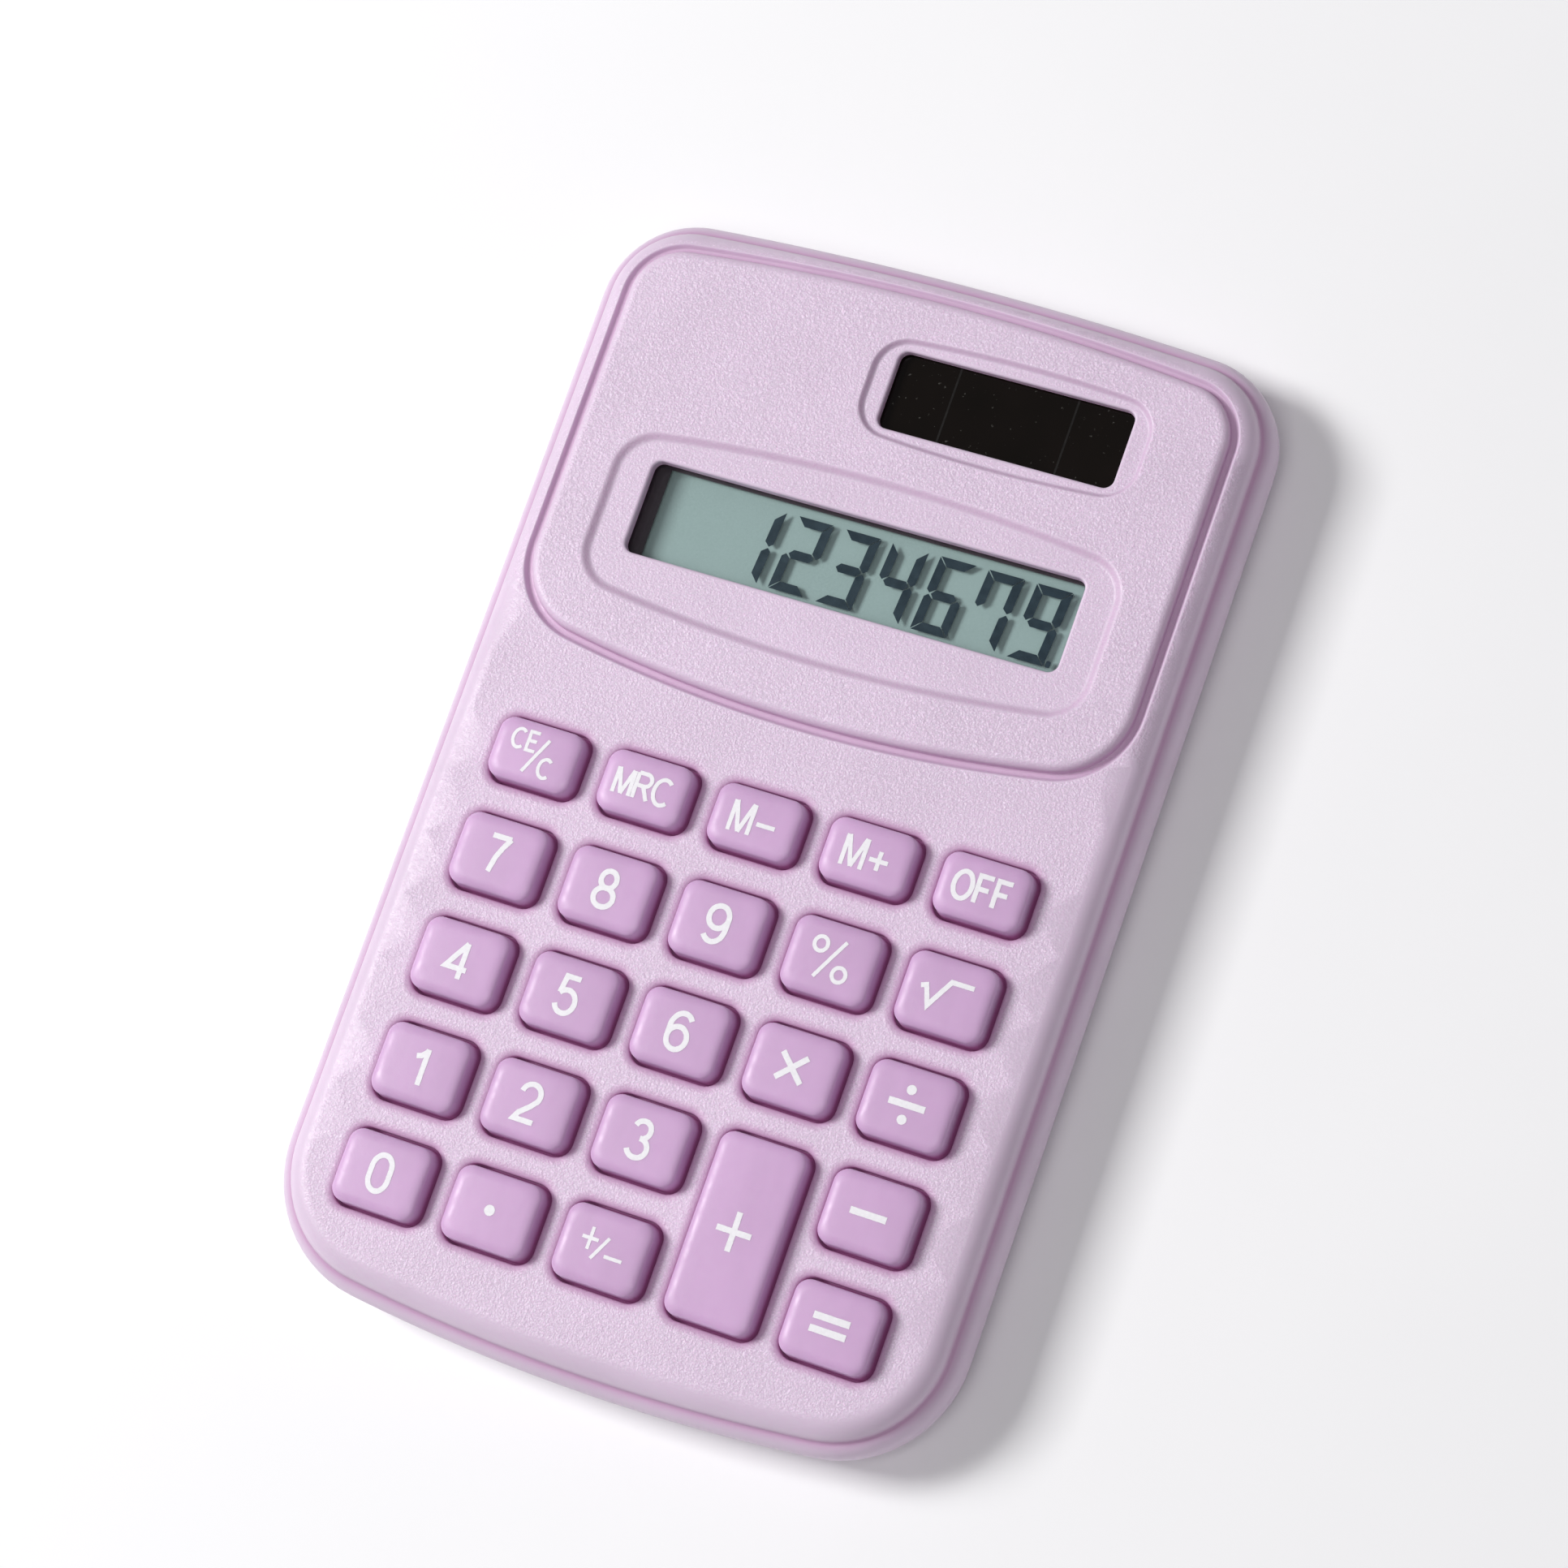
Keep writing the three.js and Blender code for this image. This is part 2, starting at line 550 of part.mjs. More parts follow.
function backShell() {
  let shell = backOuter();
  shell = shell.subtract(bowedLoft(SKIRT, [[FLOOR, BACK_ROUND + 0.6], [FLOOR + 1, 2.2], [PART_Z + 1, 1.9]]));
  shell = shell.add(rimBand(TONGUE_INSET, TONGUE_INSET + TONGUE_WIDTH, PART_Z - 0.8, PART_Z + TONGUE_RISE));
  const padHalf = DOOR_HALF + DOOR_RAIL + 1.2;
  const padHigh = LENGTH / 2 - 2.5;
  const pad = box(BAY.x - padHalf, BAY.x + padHalf, DOOR_LOW_Y - 1.2, padHigh, FLOOR - 0.5, PAD_Z);
  shell = shell.add(pad.intersect(backOuter()));
  shell = shell.add(cylinder(BAY.x, BAY.y, BAY_WALL_RADIUS, FLOOR, BAY_WALL_Z, 24));
  shell = shell.subtract(cylinder(BAY.x, BAY.y, BAY_RADIUS, FLOOR - 1, BAY_WALL_Z + 1, 24));
  const notch = box(BAY.x - 4.6, BAY.x + 4.6, BAY.y - BAY_WALL_RADIUS - 1, BAY.y - 4, PAD_Z, BAY_WALL_Z + 1);
  shell = shell.subtract(notch);
  shell = shell.subtract(doorSpace(DOOR_FIT, DOOR_LOW_Y - DOOR_FIT, LENGTH));
  for (const { x, y } of CASE_BOSSES) {
    shell = shell.add(cylinder(x, y, POST_RADIUS, FLOOR - 0.5, BOARD_Z - GAP, 16));
    shell = shell.subtract(cylinder(x, y, BOSS_RADIUS + GAP, BOARD_Z - GAP, PART_Z + 1, 16));
    shell = shell.subtract(cylinder(x, y, SCREW_RADIUS + GAP, -1, BOARD_Z + 1, 12));
    shell = shell.subtract(cylinder(x, y, SCREW_HEAD_RADIUS + GAP, -1, SCREW_HEAD + 0.5, 16));
  }
  for (const share of [0.12, 0.5, 0.88]) {
    const y = BOARD.bottom + share * (MAT.top - BOARD.bottom);
    shell = shell.add(box(-BOARD.half + 2, BOARD.half - 2, y - 0.5, y + 0.5, FLOOR - 0.3, BOARD_Z - GAP));
  }
  return shell;
}

function batteryDoor() {
  let door = doorSpace(0, DOOR_LOW_Y, LENGTH).intersect(backOuter());
  for (let i = 0; i < 4; i++) {
    const y = DOOR_LOW_Y + 2.4 + i * 1.5;
    door = door.subtract(box(BAY.x - 4, BAY.x + 4, y, y + 0.7, -1, 0.3));
  }
  return door;
}

const shells = group();
place(shells, "front_shell", frontShell(), MATERIALS.shell);
place(shells, "back_shell", backShell(), MATERIALS.shell);
place(shells, "battery_door", batteryDoor(), MATERIALS.shell);

// ---------------------------------------------------------------- keys and mat

// A key about its own middle: retaining flange, drafted walls and a pillowed top.
function keySolid(height) {
  const ring = (z, grow, corner) => [
    z,
    roundedRectangle(KEY_WIDTH + 2 * grow, height + 2 * grow, Math.max(corner, 0.3)),
  ];
  const flange = [ring(FLANGE_Z, KEY_FLANGE, KEY_CORNER), ring(FLANGE_TOP_Z, KEY_FLANGE, KEY_CORNER)];
  const top = roundOver(HEIGHT - KEY_ROUND, HEIGHT, 0, 1.2, 2).map(([z, inset]) =>
    ring(z, -inset, KEY_CORNER - inset / 2),
  );
  const cap = [ring(FLANGE_TOP_Z - 0.2, KEY_DRAFT, KEY_CORNER), ...top];
  return loft(flange).add(loft(cap));
}

const keypad = group();
for (const key of KEYS) {
  place(keypad, "key_" + key.name, keySolid(key.height), MATERIALS.key, key.x, key.y);
}

// One silicone sheet with a hollow dome under each key.
function keypadMat() {
  const sheet = roundedRectangle(2 * MAT.half, MAT.top - MAT.bottom, 2, 0, (MAT.top + MAT.bottom) / 2);
  let mat = prism(sheet, MAT_Z, MAT_Z + MAT_THICK);
  const lowZ = MAT_Z + 0.2;
  const highZ = FLANGE_Z - GAP;
  const hollowZ = BOARD_TOP_Z + KEY_TRAVEL;
  const taper = (DOME_BASE - DOME_TOP) / (highZ - lowZ);
  const hollowTop = DOME_BASE - DOME_WALL - taper * (hollowZ - lowZ);
  for (const { x, y } of KEYS) {
    const dome = [[lowZ, DOME_BASE], [highZ, DOME_TOP]];
    const hollow = [[MAT_Z - 1, DOME_BASE - DOME_WALL], [hollowZ, hollowTop]];
    mat = mat.add(loft(dome.map(([z, r]) => [z, circle(x, y, r, 8)])));
    mat = mat.subtract(loft(hollow.map(([z, r]) => [z, circle(x, y, r, 8)])));
  }
  return mat;
}

place(keypad, "keypad_mat", keypadMat(), MATERIALS.silicone);

// ---------------------------------------------------------------- circuit board and what is on it

function circuitBoard() {
  const width = 2 * BOARD.half;
  const outline = roundedRectangle(width, BOARD.top - BOARD.bottom, 3, 0, (BOARD.top + BOARD.bottom) / 2);
  let board = prism(outline, BOARD_Z, BOARD_TOP_Z);
  for (const { x, y } of BOARD_SCREWS) {
    board = board.subtract(cylinder(x, y, SCREW_RADIUS + GAP, 0, HEIGHT, 12));
  }
  return board;
}

const electronics = group();
place(electronics, "circuit_board", circuitBoard(), MATERIALS.board);

const blob = [[0, 0], [1.8, 0.02], [3.4, 0.25], [4.3, 0.75], [0, 0.75]];
place(electronics, "chip_blob", turned(blob), MATERIALS.epoxy, 0, DISPLAY_Y, BOARD_Z - 0.8);

const canZ = BOARD_TOP_Z + 0.05;
const canRise = CEILING_Z - CAPACITOR_ROOM - canZ;
const can = [[0, 0], [1.9, 0], [2, 0.1], [2, canRise - 0.2], [1.8, canRise], [0, canRise]];
place(electronics, "capacitor", turned(can, 16), MATERIALS.black, -12, BOARD_SCREW.y, canZ);

function clampDiode() {
  const legs = [[-3.4, 0, 0.1], [-3.2, 0, 0.9], [-2.4, 0, 1.4], [2.4, 0, 1.4], [3.2, 0, 0.9], [3.4, 0, 0.1]];
  const body = new THREE.CylinderGeometry(0.9, 0.9, 3.4, 12).rotateZ(Math.PI / 2).translate(0, 0, 1.4);
  return wire(legs, 0.25, 12).add(solidOf(body));
}

place(electronics, "clamp_diode", clampDiode(), MATERIALS.red, 11, BOARD_SCREW.y, BOARD_TOP_Z + 0.05);

// ---------------------------------------------------------------- display sandwich, front to back

const display = group();
const filmHalf = GLASS_WIDTH / 2 - 0.8;
const filmZ = DISPLAY_Z - FILM;
const frontGlassZ = filmZ - BOND - GLASS;
const rearGlassZ = frontGlassZ - BOND - GLASS;
const reflectorZ = rearGlassZ - BOND - FILM;
const filmEdge = 0.6;

function pane(half, low, high, z0, z1) {
  return box(-half, half, low, high, z0, z1);
}

const filmLow = GLASS_BOTTOM + filmEdge;
const filmHigh = GLASS_TOP - filmEdge;
const frontFilm = pane(filmHalf, filmLow, filmHigh, filmZ, DISPLAY_Z);
const frontGlass = pane(GLASS_WIDTH / 2, LEDGE_BOTTOM, GLASS_TOP, frontGlassZ, filmZ - BOND);
const rearGlass = pane(GLASS_WIDTH / 2, GLASS_BOTTOM, GLASS_TOP, rearGlassZ, frontGlassZ - BOND);
const reflector = pane(filmHalf, filmLow, filmHigh, reflectorZ, rearGlassZ - BOND);
place(display, "display_front_polariser", frontFilm, MATERIALS.film);
place(display, "display_front_glass", frontGlass, MATERIALS.glass);
place(display, "display_rear_glass", rearGlass, MATERIALS.glass);
place(display, "display_reflector", reflector, MATERIALS.reflector);

const contactLow = LEDGE_BOTTOM + 0.4;
const contactHigh = GLASS_BOTTOM - GAP;
const contactHalf = GLASS_WIDTH / 2 - 1.5;
const contactStrip = pane(contactHalf, contactLow, contactHigh, BOARD_TOP_Z + 0.05, frontGlassZ - 0.05);
place(display, "display_contact_strip", contactStrip, MATERIALS.zebra);

const foamHigh = BOARD.top - LEAD_STRIP;
const foam = pane(GLASS_WIDTH / 2 - 4, foamHigh - FOAM_WIDTH, foamHigh, BOARD_TOP_Z + GAP, reflectorZ - GAP);
place(display, "display_foam", foam, MATERIALS.foam);

// ---------------------------------------------------------------- solar cell and its leads

const solar = group();
const solarHalf = SOLAR_LENGTH / 2 + SOLAR_MARGIN;
const solarRise = SOLAR_HEIGHT / 2 + SOLAR_MARGIN;
const solarLow = SOLAR_Y - solarRise;
const solarCell = box(SOLAR_X - solarHalf, SOLAR_X + solarHalf, solarLow, SOLAR_Y + solarRise,
  SOLAR_Z - SOLAR_THICK, SOLAR_Z);
place(solar, "solar_cell", solarCell, MATERIALS.solar);

// Each lead runs from the cell's back down to the top edge of the board.
function solarLead() {
  const top = SOLAR_Z - SOLAR_THICK - 0.7;
  const rise = top - BOARD_TOP_Z - 0.5;
  const boardY = BOARD.top - 1.2;
  const run = solarLow + 1.5 - boardY;
  return wire(
    [
      [0, boardY, BOARD_TOP_Z + 0.5],
      [0, boardY + 0.15 * run, BOARD_TOP_Z + 0.5 + 0.35 * rise],
      [0, boardY + 0.55 * run, BOARD_TOP_Z + 0.5 + 0.75 * rise],
      [0, boardY + run, top],
    ],
    0.35,
    10,
  );
}

place(solar, "solar_lead_plus", solarLead(), MATERIALS.red, SOLAR_X + 2, 0, 0);
place(solar, "solar_lead_minus", solarLead(), MATERIALS.black, SOLAR_X + 5, 0, 0);

// ---------------------------------------------------------------- battery

const battery = group();
const rim = CELL_RADIUS - 0.9;
const cellProfile = [
  [0, 0], [CELL_RADIUS - 0.3, 0], [CELL_RADIUS, 0.3], [CELL_RADIUS, CELL_HEIGHT - 0.5],
  [CELL_RADIUS - 0.3, CELL_HEIGHT - 0.3], [rim, CELL_HEIGHT - 0.3], [rim, CELL_HEIGHT], [0, CELL_HEIGHT],
];
place(battery, "battery_cell", turned(cellProfile, 24), MATERIALS.steel, BAY.x, BAY.y, CELL_Z);

const footY = BOARD.top - 1.6;
const footZ = BOARD_TOP_Z + 0.05;
const leafZ = CELL_Z + CELL_HEIGHT + GAP;
const sideY = BAY.y - CELL_RADIUS - GAP - 0.25;
const minusPath = [[footY, footZ], [sideY - 1.0, footZ], [sideY - 0.6, leafZ + 0.3], [BAY.y, leafZ]];
const plusPath = [[footY, footZ], [sideY, footZ], [sideY, CELL_Z + CELL_HEIGHT - 0.6]];
place(battery, "battery_contact_minus", strip(minusPath, 0.2, BAY.x - 4, BAY.x - 1), MATERIALS.steel);
place(battery, "battery_contact_plus", strip(plusPath, 0.2, BAY.x + 0.6, BAY.x + 3.6), MATERIALS.steel);

// ---------------------------------------------------------------- screws

// A screw about its own axis with its head's lower face at z = 0, and a cross recess in the head.
function screw(head, reach) {
  const profile = [
    [0, 0], [SCREW_HEAD_RADIUS - 0.3, 0], [SCREW_HEAD_RADIUS, 0.3], [SCREW_HEAD_RADIUS, head],
    [SCREW_RADIUS, head], [SCREW_RADIUS, reach - 0.6], [0, reach],
  ];
  const cross = box(-1, 1, -0.2, 0.2, -1, 0.4).add(box(-0.2, 0.2, -1, 1, -1, 0.4));
  return turned(profile, 12).subtract(cross);
}

const fasteners = group();
const caseHeadZ = 0.4;
CASE_BOSSES.forEach(({ x, y }, i) => {
  const reach = BOARD_Z + SCREW_REACH - caseHeadZ;
  place(fasteners, "case_screw_" + (i + 1), screw(SCREW_HEAD, reach), MATERIALS.screw, x, y, caseHeadZ);
});
const boardHeadZ = FLOOR + GAP;
BOARD_SCREWS.forEach(({ x, y }, i) => {
  const head = BOARD_Z - boardHeadZ - 0.1;
  const reach = BOARD_Z + SCREW_REACH - boardHeadZ;
  place(fasteners, "board_screw_" + (i + 1), screw(head, reach), MATERIALS.screw, x, y, boardHeadZ);
});

export default calculator;
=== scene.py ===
"""Pocket calculator: the visible pieces and their finishes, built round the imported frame.

Laid out as an add-on and run as a script. Lengths are in metres, in the frame's own axes:
+X right, +Y towards the display, +Z out of the face.
"""

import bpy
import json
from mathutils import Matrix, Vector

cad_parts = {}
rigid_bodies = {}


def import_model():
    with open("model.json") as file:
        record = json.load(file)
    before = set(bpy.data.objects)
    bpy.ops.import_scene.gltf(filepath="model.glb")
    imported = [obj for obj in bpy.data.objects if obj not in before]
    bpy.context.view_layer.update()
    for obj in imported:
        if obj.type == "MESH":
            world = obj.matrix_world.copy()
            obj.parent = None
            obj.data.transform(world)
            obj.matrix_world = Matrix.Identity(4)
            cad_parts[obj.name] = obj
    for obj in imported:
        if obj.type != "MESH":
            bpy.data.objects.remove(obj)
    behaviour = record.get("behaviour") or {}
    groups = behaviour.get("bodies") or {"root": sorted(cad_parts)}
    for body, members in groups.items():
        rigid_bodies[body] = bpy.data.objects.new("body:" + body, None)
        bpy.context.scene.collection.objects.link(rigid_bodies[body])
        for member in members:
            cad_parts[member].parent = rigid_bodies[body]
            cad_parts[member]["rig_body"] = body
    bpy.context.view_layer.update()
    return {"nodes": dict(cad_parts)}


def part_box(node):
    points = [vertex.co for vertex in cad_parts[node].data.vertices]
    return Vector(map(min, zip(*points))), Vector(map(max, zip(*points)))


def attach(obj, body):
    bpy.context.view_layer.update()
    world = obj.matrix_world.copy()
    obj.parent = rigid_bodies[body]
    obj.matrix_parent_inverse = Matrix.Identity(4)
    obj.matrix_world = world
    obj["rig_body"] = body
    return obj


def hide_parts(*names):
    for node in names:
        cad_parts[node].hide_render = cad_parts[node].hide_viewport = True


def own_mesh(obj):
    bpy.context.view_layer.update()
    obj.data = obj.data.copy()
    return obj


bl_info = {
    "name": "Pocket Calculator",
    "version": (1, 0, 0),
    "blender": (4, 5, 0),
    "location": "View3D > Sidebar > Calculator",
    "description": "Builds a pocket calculator's shells, keys, display and fittings",
    "category": "Object",
}

import json
import math
from collections import namedtuple

import bpy
import numpy as np
from bpy.props import FloatProperty, FloatVectorProperty, PointerProperty, StringProperty
from mathutils import Matrix, Vector
from mathutils.geometry import delaunay_2d_cdt

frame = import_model()

MM = 0.001
TURN = 2 * math.pi
HALF_TURN = math.pi
QUARTER = math.pi / 2
RIGHT, UP = 0, 1

KEY_NODES = sorted(name for name in frame["nodes"] if name.startswith("key_"))
CASE_SCREWS = sorted(name for name in frame["nodes"] if name.startswith("case_screw"))
BOARD_SCREWS = sorted(name for name in frame["nodes"] if name.startswith("board_screw"))
SHELL_LOW, SHELL_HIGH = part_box("front_shell")
BACK_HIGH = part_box("back_shell")[1]
SHELL_RIM = 4.025 * MM


def body_of(node):
    """The body that a CAD node rides on."""
    return frame["nodes"][node]["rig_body"]


def centre(node):
    """Middle of a node's box."""
    low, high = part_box(node)
    return (low + high) / 2


# ---------------------------------------- sizes and colours a user would change


def length(name, description, millimetres):
    """A size property whose default is given in millimetres."""
    return FloatProperty(name=name, description=description, default=millimetres * MM, unit="LENGTH",
                         precision=5)


def colour(name, description, red, green, blue):
    """A colour property from 8-bit display values."""
    return FloatVectorProperty(name=name, description=description, subtype="COLOR", size=3, min=0, max=1,
                               default=tuple(linear(c / 255) for c in (red, green, blue)))


def linear(value):
    """Display value to scene-linear value."""
    return value / 12.92 if value <= 0.04045 else ((value + 0.055) / 1.055) ** 2.4


class CalculatorCase(bpy.types.PropertyGroup):
    """Sizes of the two shells and the battery door."""

    bow_top: length("Top bow", "How far the top end bulges", 1.4)
    bow_bottom: length("Bottom bow", "How far the bottom end bulges", 2.7)
    corner_top: length("Top corner", "Radius of the top corners", 8.2)
    corner_bottom: length("Bottom corner", "Radius of the bottom corners", 11.2)
    panel_proud: length("Panel rise", "Display panel above the face", 0.65)
    seam: length("Seam", "Gap between the two shells", 0.15)
    crown_rise: length("Crown rise", "Face above the crease", 2.0)
    edge_round: length("Edge round", "Width of the crown's rounded edge", 2.2)
    ledge: length("Ledge", "Skirt outside the crown", 1.2)
    wall: length("Wall", "Thickness of the side walls", 1.5)
    face_wall: length("Face wall", "Thickness of the face", 1.3)
    floor: length("Floor", "Thickness of the back", 1.3)
    back_round: length("Back round", "How far the back face lies inside the skirt", 2.6)
    panel_side: length("Panel side", "Case edge to the display panel", 3.5)
    panel_top: length("Panel top", "Case end to the display panel", 3.0)
    panel_length: length("Panel length", "Length of the display panel", 38.35)
    panel_round: length("Panel round", "Width of the panel's rounded edge", 0.85)
    groove_width: length("Groove width", "Width of the groove round the panel", 0.55)
    groove_depth: length("Groove depth", "Depth of the groove round the panel", 0.5)
    bezel_depth: length("Recess depth", "Depth of the recesses round the windows", 0.45)
    bezel_slope: length("Recess slope", "Width of the recesses' sloping edge", 0.9)
    solar_slope: length("Solar slope", "Width of the sloping edge round the solar cell", 0.55)
    lead_in: length("Lead-in", "Width of the dished edge of each key opening", 0.72)
    lead_depth: length("Lead-in depth", "Depth of the dished edge of each key opening", 0.38)


class CalculatorKeys(bpy.types.PropertyGroup):
    """Sizes of the keys and their lettering."""

    proud: length("Key rise", "Key tops above the face", 1.75)
    flange: length("Flange", "Retaining flange outside each key", 0.7)
    flange_thick: length("Flange thickness", "Thickness of the retaining flange", 0.7)
    clearance: length("Clearance", "Gap between a key and its opening", 0.22)
    draft: length("Draft", "Spread of a key's wall down to the face", 0.12)
    corner: length("Corner", "Radius of the keys' corners", 1.25)
    roll: length("Roll width", "Width of the rounded edge of a key top", 0.95)
    roll_drop: length("Roll drop", "Fall of the rounded edge of a key top", 0.45)
    crown: length("Crown", "Rise of a key top from its sides to its middle", 0.2)
    mat_thick: length("Mat", "Thickness of the keypad mat", 0.6)
    dome_base: length("Dome base", "Radius of a dome at the mat", 2.8)
    dome_top: length("Dome top", "Radius of a dome under its key", 1.7)
    dome_wall: length("Dome wall", "Thickness of a dome's wall", 0.5)
    dome_keep: FloatProperty(name="Dome keep", description="Share of a dome's height left when pressed",
                             default=0.62)
    ink: length("Ink", "Thickness of the printed legends", 0.02)


class CalculatorDisplay(bpy.types.PropertyGroup):
    """Sizes of the display and the solar cell."""

    window_margin: length("Window margin", "Glass hidden behind each edge of the window", 2.05)
    window_corner: length("Window corner", "Radius of the window corners", 0.9)
    solar_margin: length("Cell margin", "Solar cell hidden behind each edge of its window", 1.6)
    digit_height: length("Digit height", "Height of a display digit", 6.75)
    digit_width: length("Digit width", "Width of a display digit", 3.3)
    digit_pitch: length("Digit pitch", "Distance between display digits", 4.387)
    digits_right: length("Digits right", "Right edge of the last digit from the middle", 18.45)
    digit_drop: length("Digit drop", "Digits' middle below the window's middle", 0.12)
    segment: length("Segment", "Width of a display segment", 0.8)
    slant: length("Slant", "Lean of a display digit over its height", 0.5)
    # Painted shadow: a dark sheet at the window's left and top edges stands in for the shadow that the
    # window's walls cast on the display.
    shadow_left: length("Left seal", "Dark seal seen in the left of the window", 1.1)
    shadow_top: length("Top seal", "Dark seal seen in the top of the window", 0.12)
    depth: length("Depth", "Reflector below the segments", 0.55)
    reading: StringProperty(name="Reading", description="Digits that the display shows", default="1234679")


class CalculatorFinish(bpy.types.PropertyGroup):
    """Colours of the finishes."""

    shell: colour("Shell", "Moulded shell", 220, 201, 221)
    # Painted shade: crevices, grooves and key openings take this darker colour in place of the shade that
    # falls there.
    shell_painted_shade: colour("Shell crevice", "Shell where walls face each other", 188, 134, 178)
    key: colour("Key", "Moulded keys", 211, 174, 213)
    # Painted shade: key walls inside their openings take this darker colour in place of the shade that falls
    # there.
    key_painted_shade: colour("Key crevice", "Key walls inside their openings", 176, 104, 158)
    legend: colour("Legend", "Printed legends", 246, 244, 248)
    display: colour("Display", "Reflector seen through the display", 168, 184, 185)
    segment: colour("Segment", "Dark display segments", 18, 44, 60)


class CalculatorStage(bpy.types.PropertyGroup):
    """The camera, its lights and the floor."""

    camera_place: FloatVectorProperty(name="Camera", description="Where the camera stands", subtype="XYZ",
                                      default=(0.11379, -0.05468, 0.36090), precision=5)
    camera_turn: FloatVectorProperty(name="Camera turn", description="How the camera is turned",
                                     default=tuple(math.radians(a) for a in (14.384, 13.773, 19.997)),
                                     subtype="EULER", precision=5)
    lens: FloatProperty(name="Lens", description="Focal length on a 36 mm sensor", default=102.48,
                        unit="CAMERA")
    ambient: colour("Surroundings", "Colour of the surroundings", 235, 232, 238)
    ambient_strength: FloatProperty(name="Surroundings", description="Light from all round", default=0.24)
    key_light: FloatProperty(name="Key light", description="Power of the light on the left", default=5.2,
                             unit="POWER")
    fill_light: FloatProperty(name="Fill light", description="Power of the light overhead", default=1.75,
                              unit="POWER")
    floor_size: FloatProperty(name="Floor", description="Side of the floor", default=6.0, unit="LENGTH")


# ---------------------------------------- outlines: arrays of x, y, counter-clockwise

Outline = namedtuple("Outline", "x half top bottom bow_top bow_bottom corner_top corner_bottom")


def arc(x, y, radius, start, end, steps):
    """Points round a centre from one angle to another, without the last."""
    angle = np.linspace(start, end, steps, endpoint=False)
    return np.column_stack([x + radius * np.cos(angle), y + radius * np.sin(angle)])


def side(x, start, end, steps):
    """Evenly spaced points along an upright line, without the last."""
    return np.column_stack([np.full(steps, x), np.linspace(start, end, steps, endpoint=False)])


def bowed_end(half, bow, corner):
    """An arc of radius (half^2 + bow^2) / 2 bow across one end, and where a corner arc meets it smoothly."""
    radius = (half * half + bow * bow) / (2 * bow)
    corner_x = half - corner
    rise = math.sqrt((radius - corner) ** 2 - corner_x**2)
    return radius, corner_x, rise, math.atan2(rise, corner_x)


def bowed_outline(o, inset=0.0, corner_steps=14, bow_steps=26, side_steps=14):
    """A rectangle with straight sides, bowed ends and round corners, every radius smaller by the inset."""
    top_radius, top_x, top_rise, top_angle = bowed_end(o.half, o.bow_top, o.corner_top)
    low_radius, low_x, low_rise, low_angle = bowed_end(o.half, o.bow_bottom, o.corner_bottom)
    top_y, low_y = o.top - top_radius, o.bottom + low_radius
    top_corner, low_corner = o.corner_top - inset, o.corner_bottom - inset
    high, low = top_y + top_rise, low_y - low_rise
    edge = o.half - inset
    parts = [
        arc(top_x, high, top_corner, 0, top_angle, corner_steps),
        arc(0, top_y, top_radius - inset, top_angle, HALF_TURN - top_angle, bow_steps),
        arc(-top_x, high, top_corner, HALF_TURN - top_angle, HALF_TURN, corner_steps),
        side(-edge, high, low, side_steps),
        arc(-low_x, low, low_corner, HALF_TURN, HALF_TURN + low_angle, corner_steps),
        arc(0, low_y, low_radius - inset, HALF_TURN + low_angle, TURN - low_angle, bow_steps),
        arc(low_x, low, low_corner, TURN - low_angle, TURN, corner_steps),
        side(edge, low, high, side_steps),
    ]
    return np.vstack(parts) + [o.x, 0]


def rounded_rectangle(x, y, half_x, half_y, corner, corner_steps=7, side_steps=8):
    """Four quarter arcs joined by straight sides that are divided evenly."""
    inner_x, inner_y = half_x - corner, half_y - corner
    quarter = arc(0, 0, corner, 0, QUARTER, corner_steps)
    across = np.column_stack([np.linspace(inner_x, -inner_x, side_steps, endpoint=False),
                              np.full(side_steps, half_y)])
    down = side(-half_x, inner_y, -inner_y, side_steps)
    turned = np.column_stack([-quarter[:, UP], quarter[:, RIGHT]])
    parts = [quarter + [inner_x, inner_y], across, turned + [-inner_x, inner_y], down]
    first_half = np.vstack(parts)
    return np.vstack([first_half, -first_half]) + [x, y]


def ccw(outline):
    """An outline turned round if it runs clockwise."""
    after = np.roll(outline, -1, axis=0)
    area = (outline[:, RIGHT] * after[:, UP] - after[:, RIGHT] * outline[:, UP]).sum()
    return outline if area > 0 else outline[::-1]


def circle(x, y, radius, steps=28):
    """Points round a whole circle."""
    return arc(x, y, radius, 0, TURN, steps)


def within(points, starts, ends):
    """Whether each point lies inside the edges: a line to its right crosses them an odd number of times."""
    y = points[:, None, UP]
    spans = (starts[:, UP] > y) != (ends[:, UP] > y)
    rise = np.where(starts[:, UP] == ends[:, UP], 1, ends[:, UP] - starts[:, UP])
    crossing = starts[:, RIGHT] + (y - starts[:, UP]) * (ends[:, RIGHT] - starts[:, RIGHT]) / rise
    return (spans & (points[:, None, RIGHT] < crossing)).sum(axis=1) % 2 == 1


def distance_to(points, outline):
    """Distance from each point to the nearest edge of an outline."""
    run = np.roll(outline, -1, axis=0) - outline
    to_point = points[:, None] - outline
    share = np.clip((to_point * run).sum(axis=2) / (run * run).sum(axis=1), 0, 1)
    return np.linalg.norm(to_point - run * share[:, :, None], axis=2).min(axis=1)


# ---------------------------------------- profiles: rows of inset, height, grain, depth (the depth mark is painted shade)


def quarter_ellipse(inset0, z0, inset1, z1, steps, grain=0.0, depth=0.0):
    """From a wall to a level face: z follows the angle's sine and the inset follows one less its cosine."""
    angle = np.linspace(0, QUARTER, steps + 1)
    inset = inset0 + (inset1 - inset0) * (1 - np.cos(angle))
    z = z0 + (z1 - z0) * np.sin(angle)
    return marked(inset, z, grain, depth)


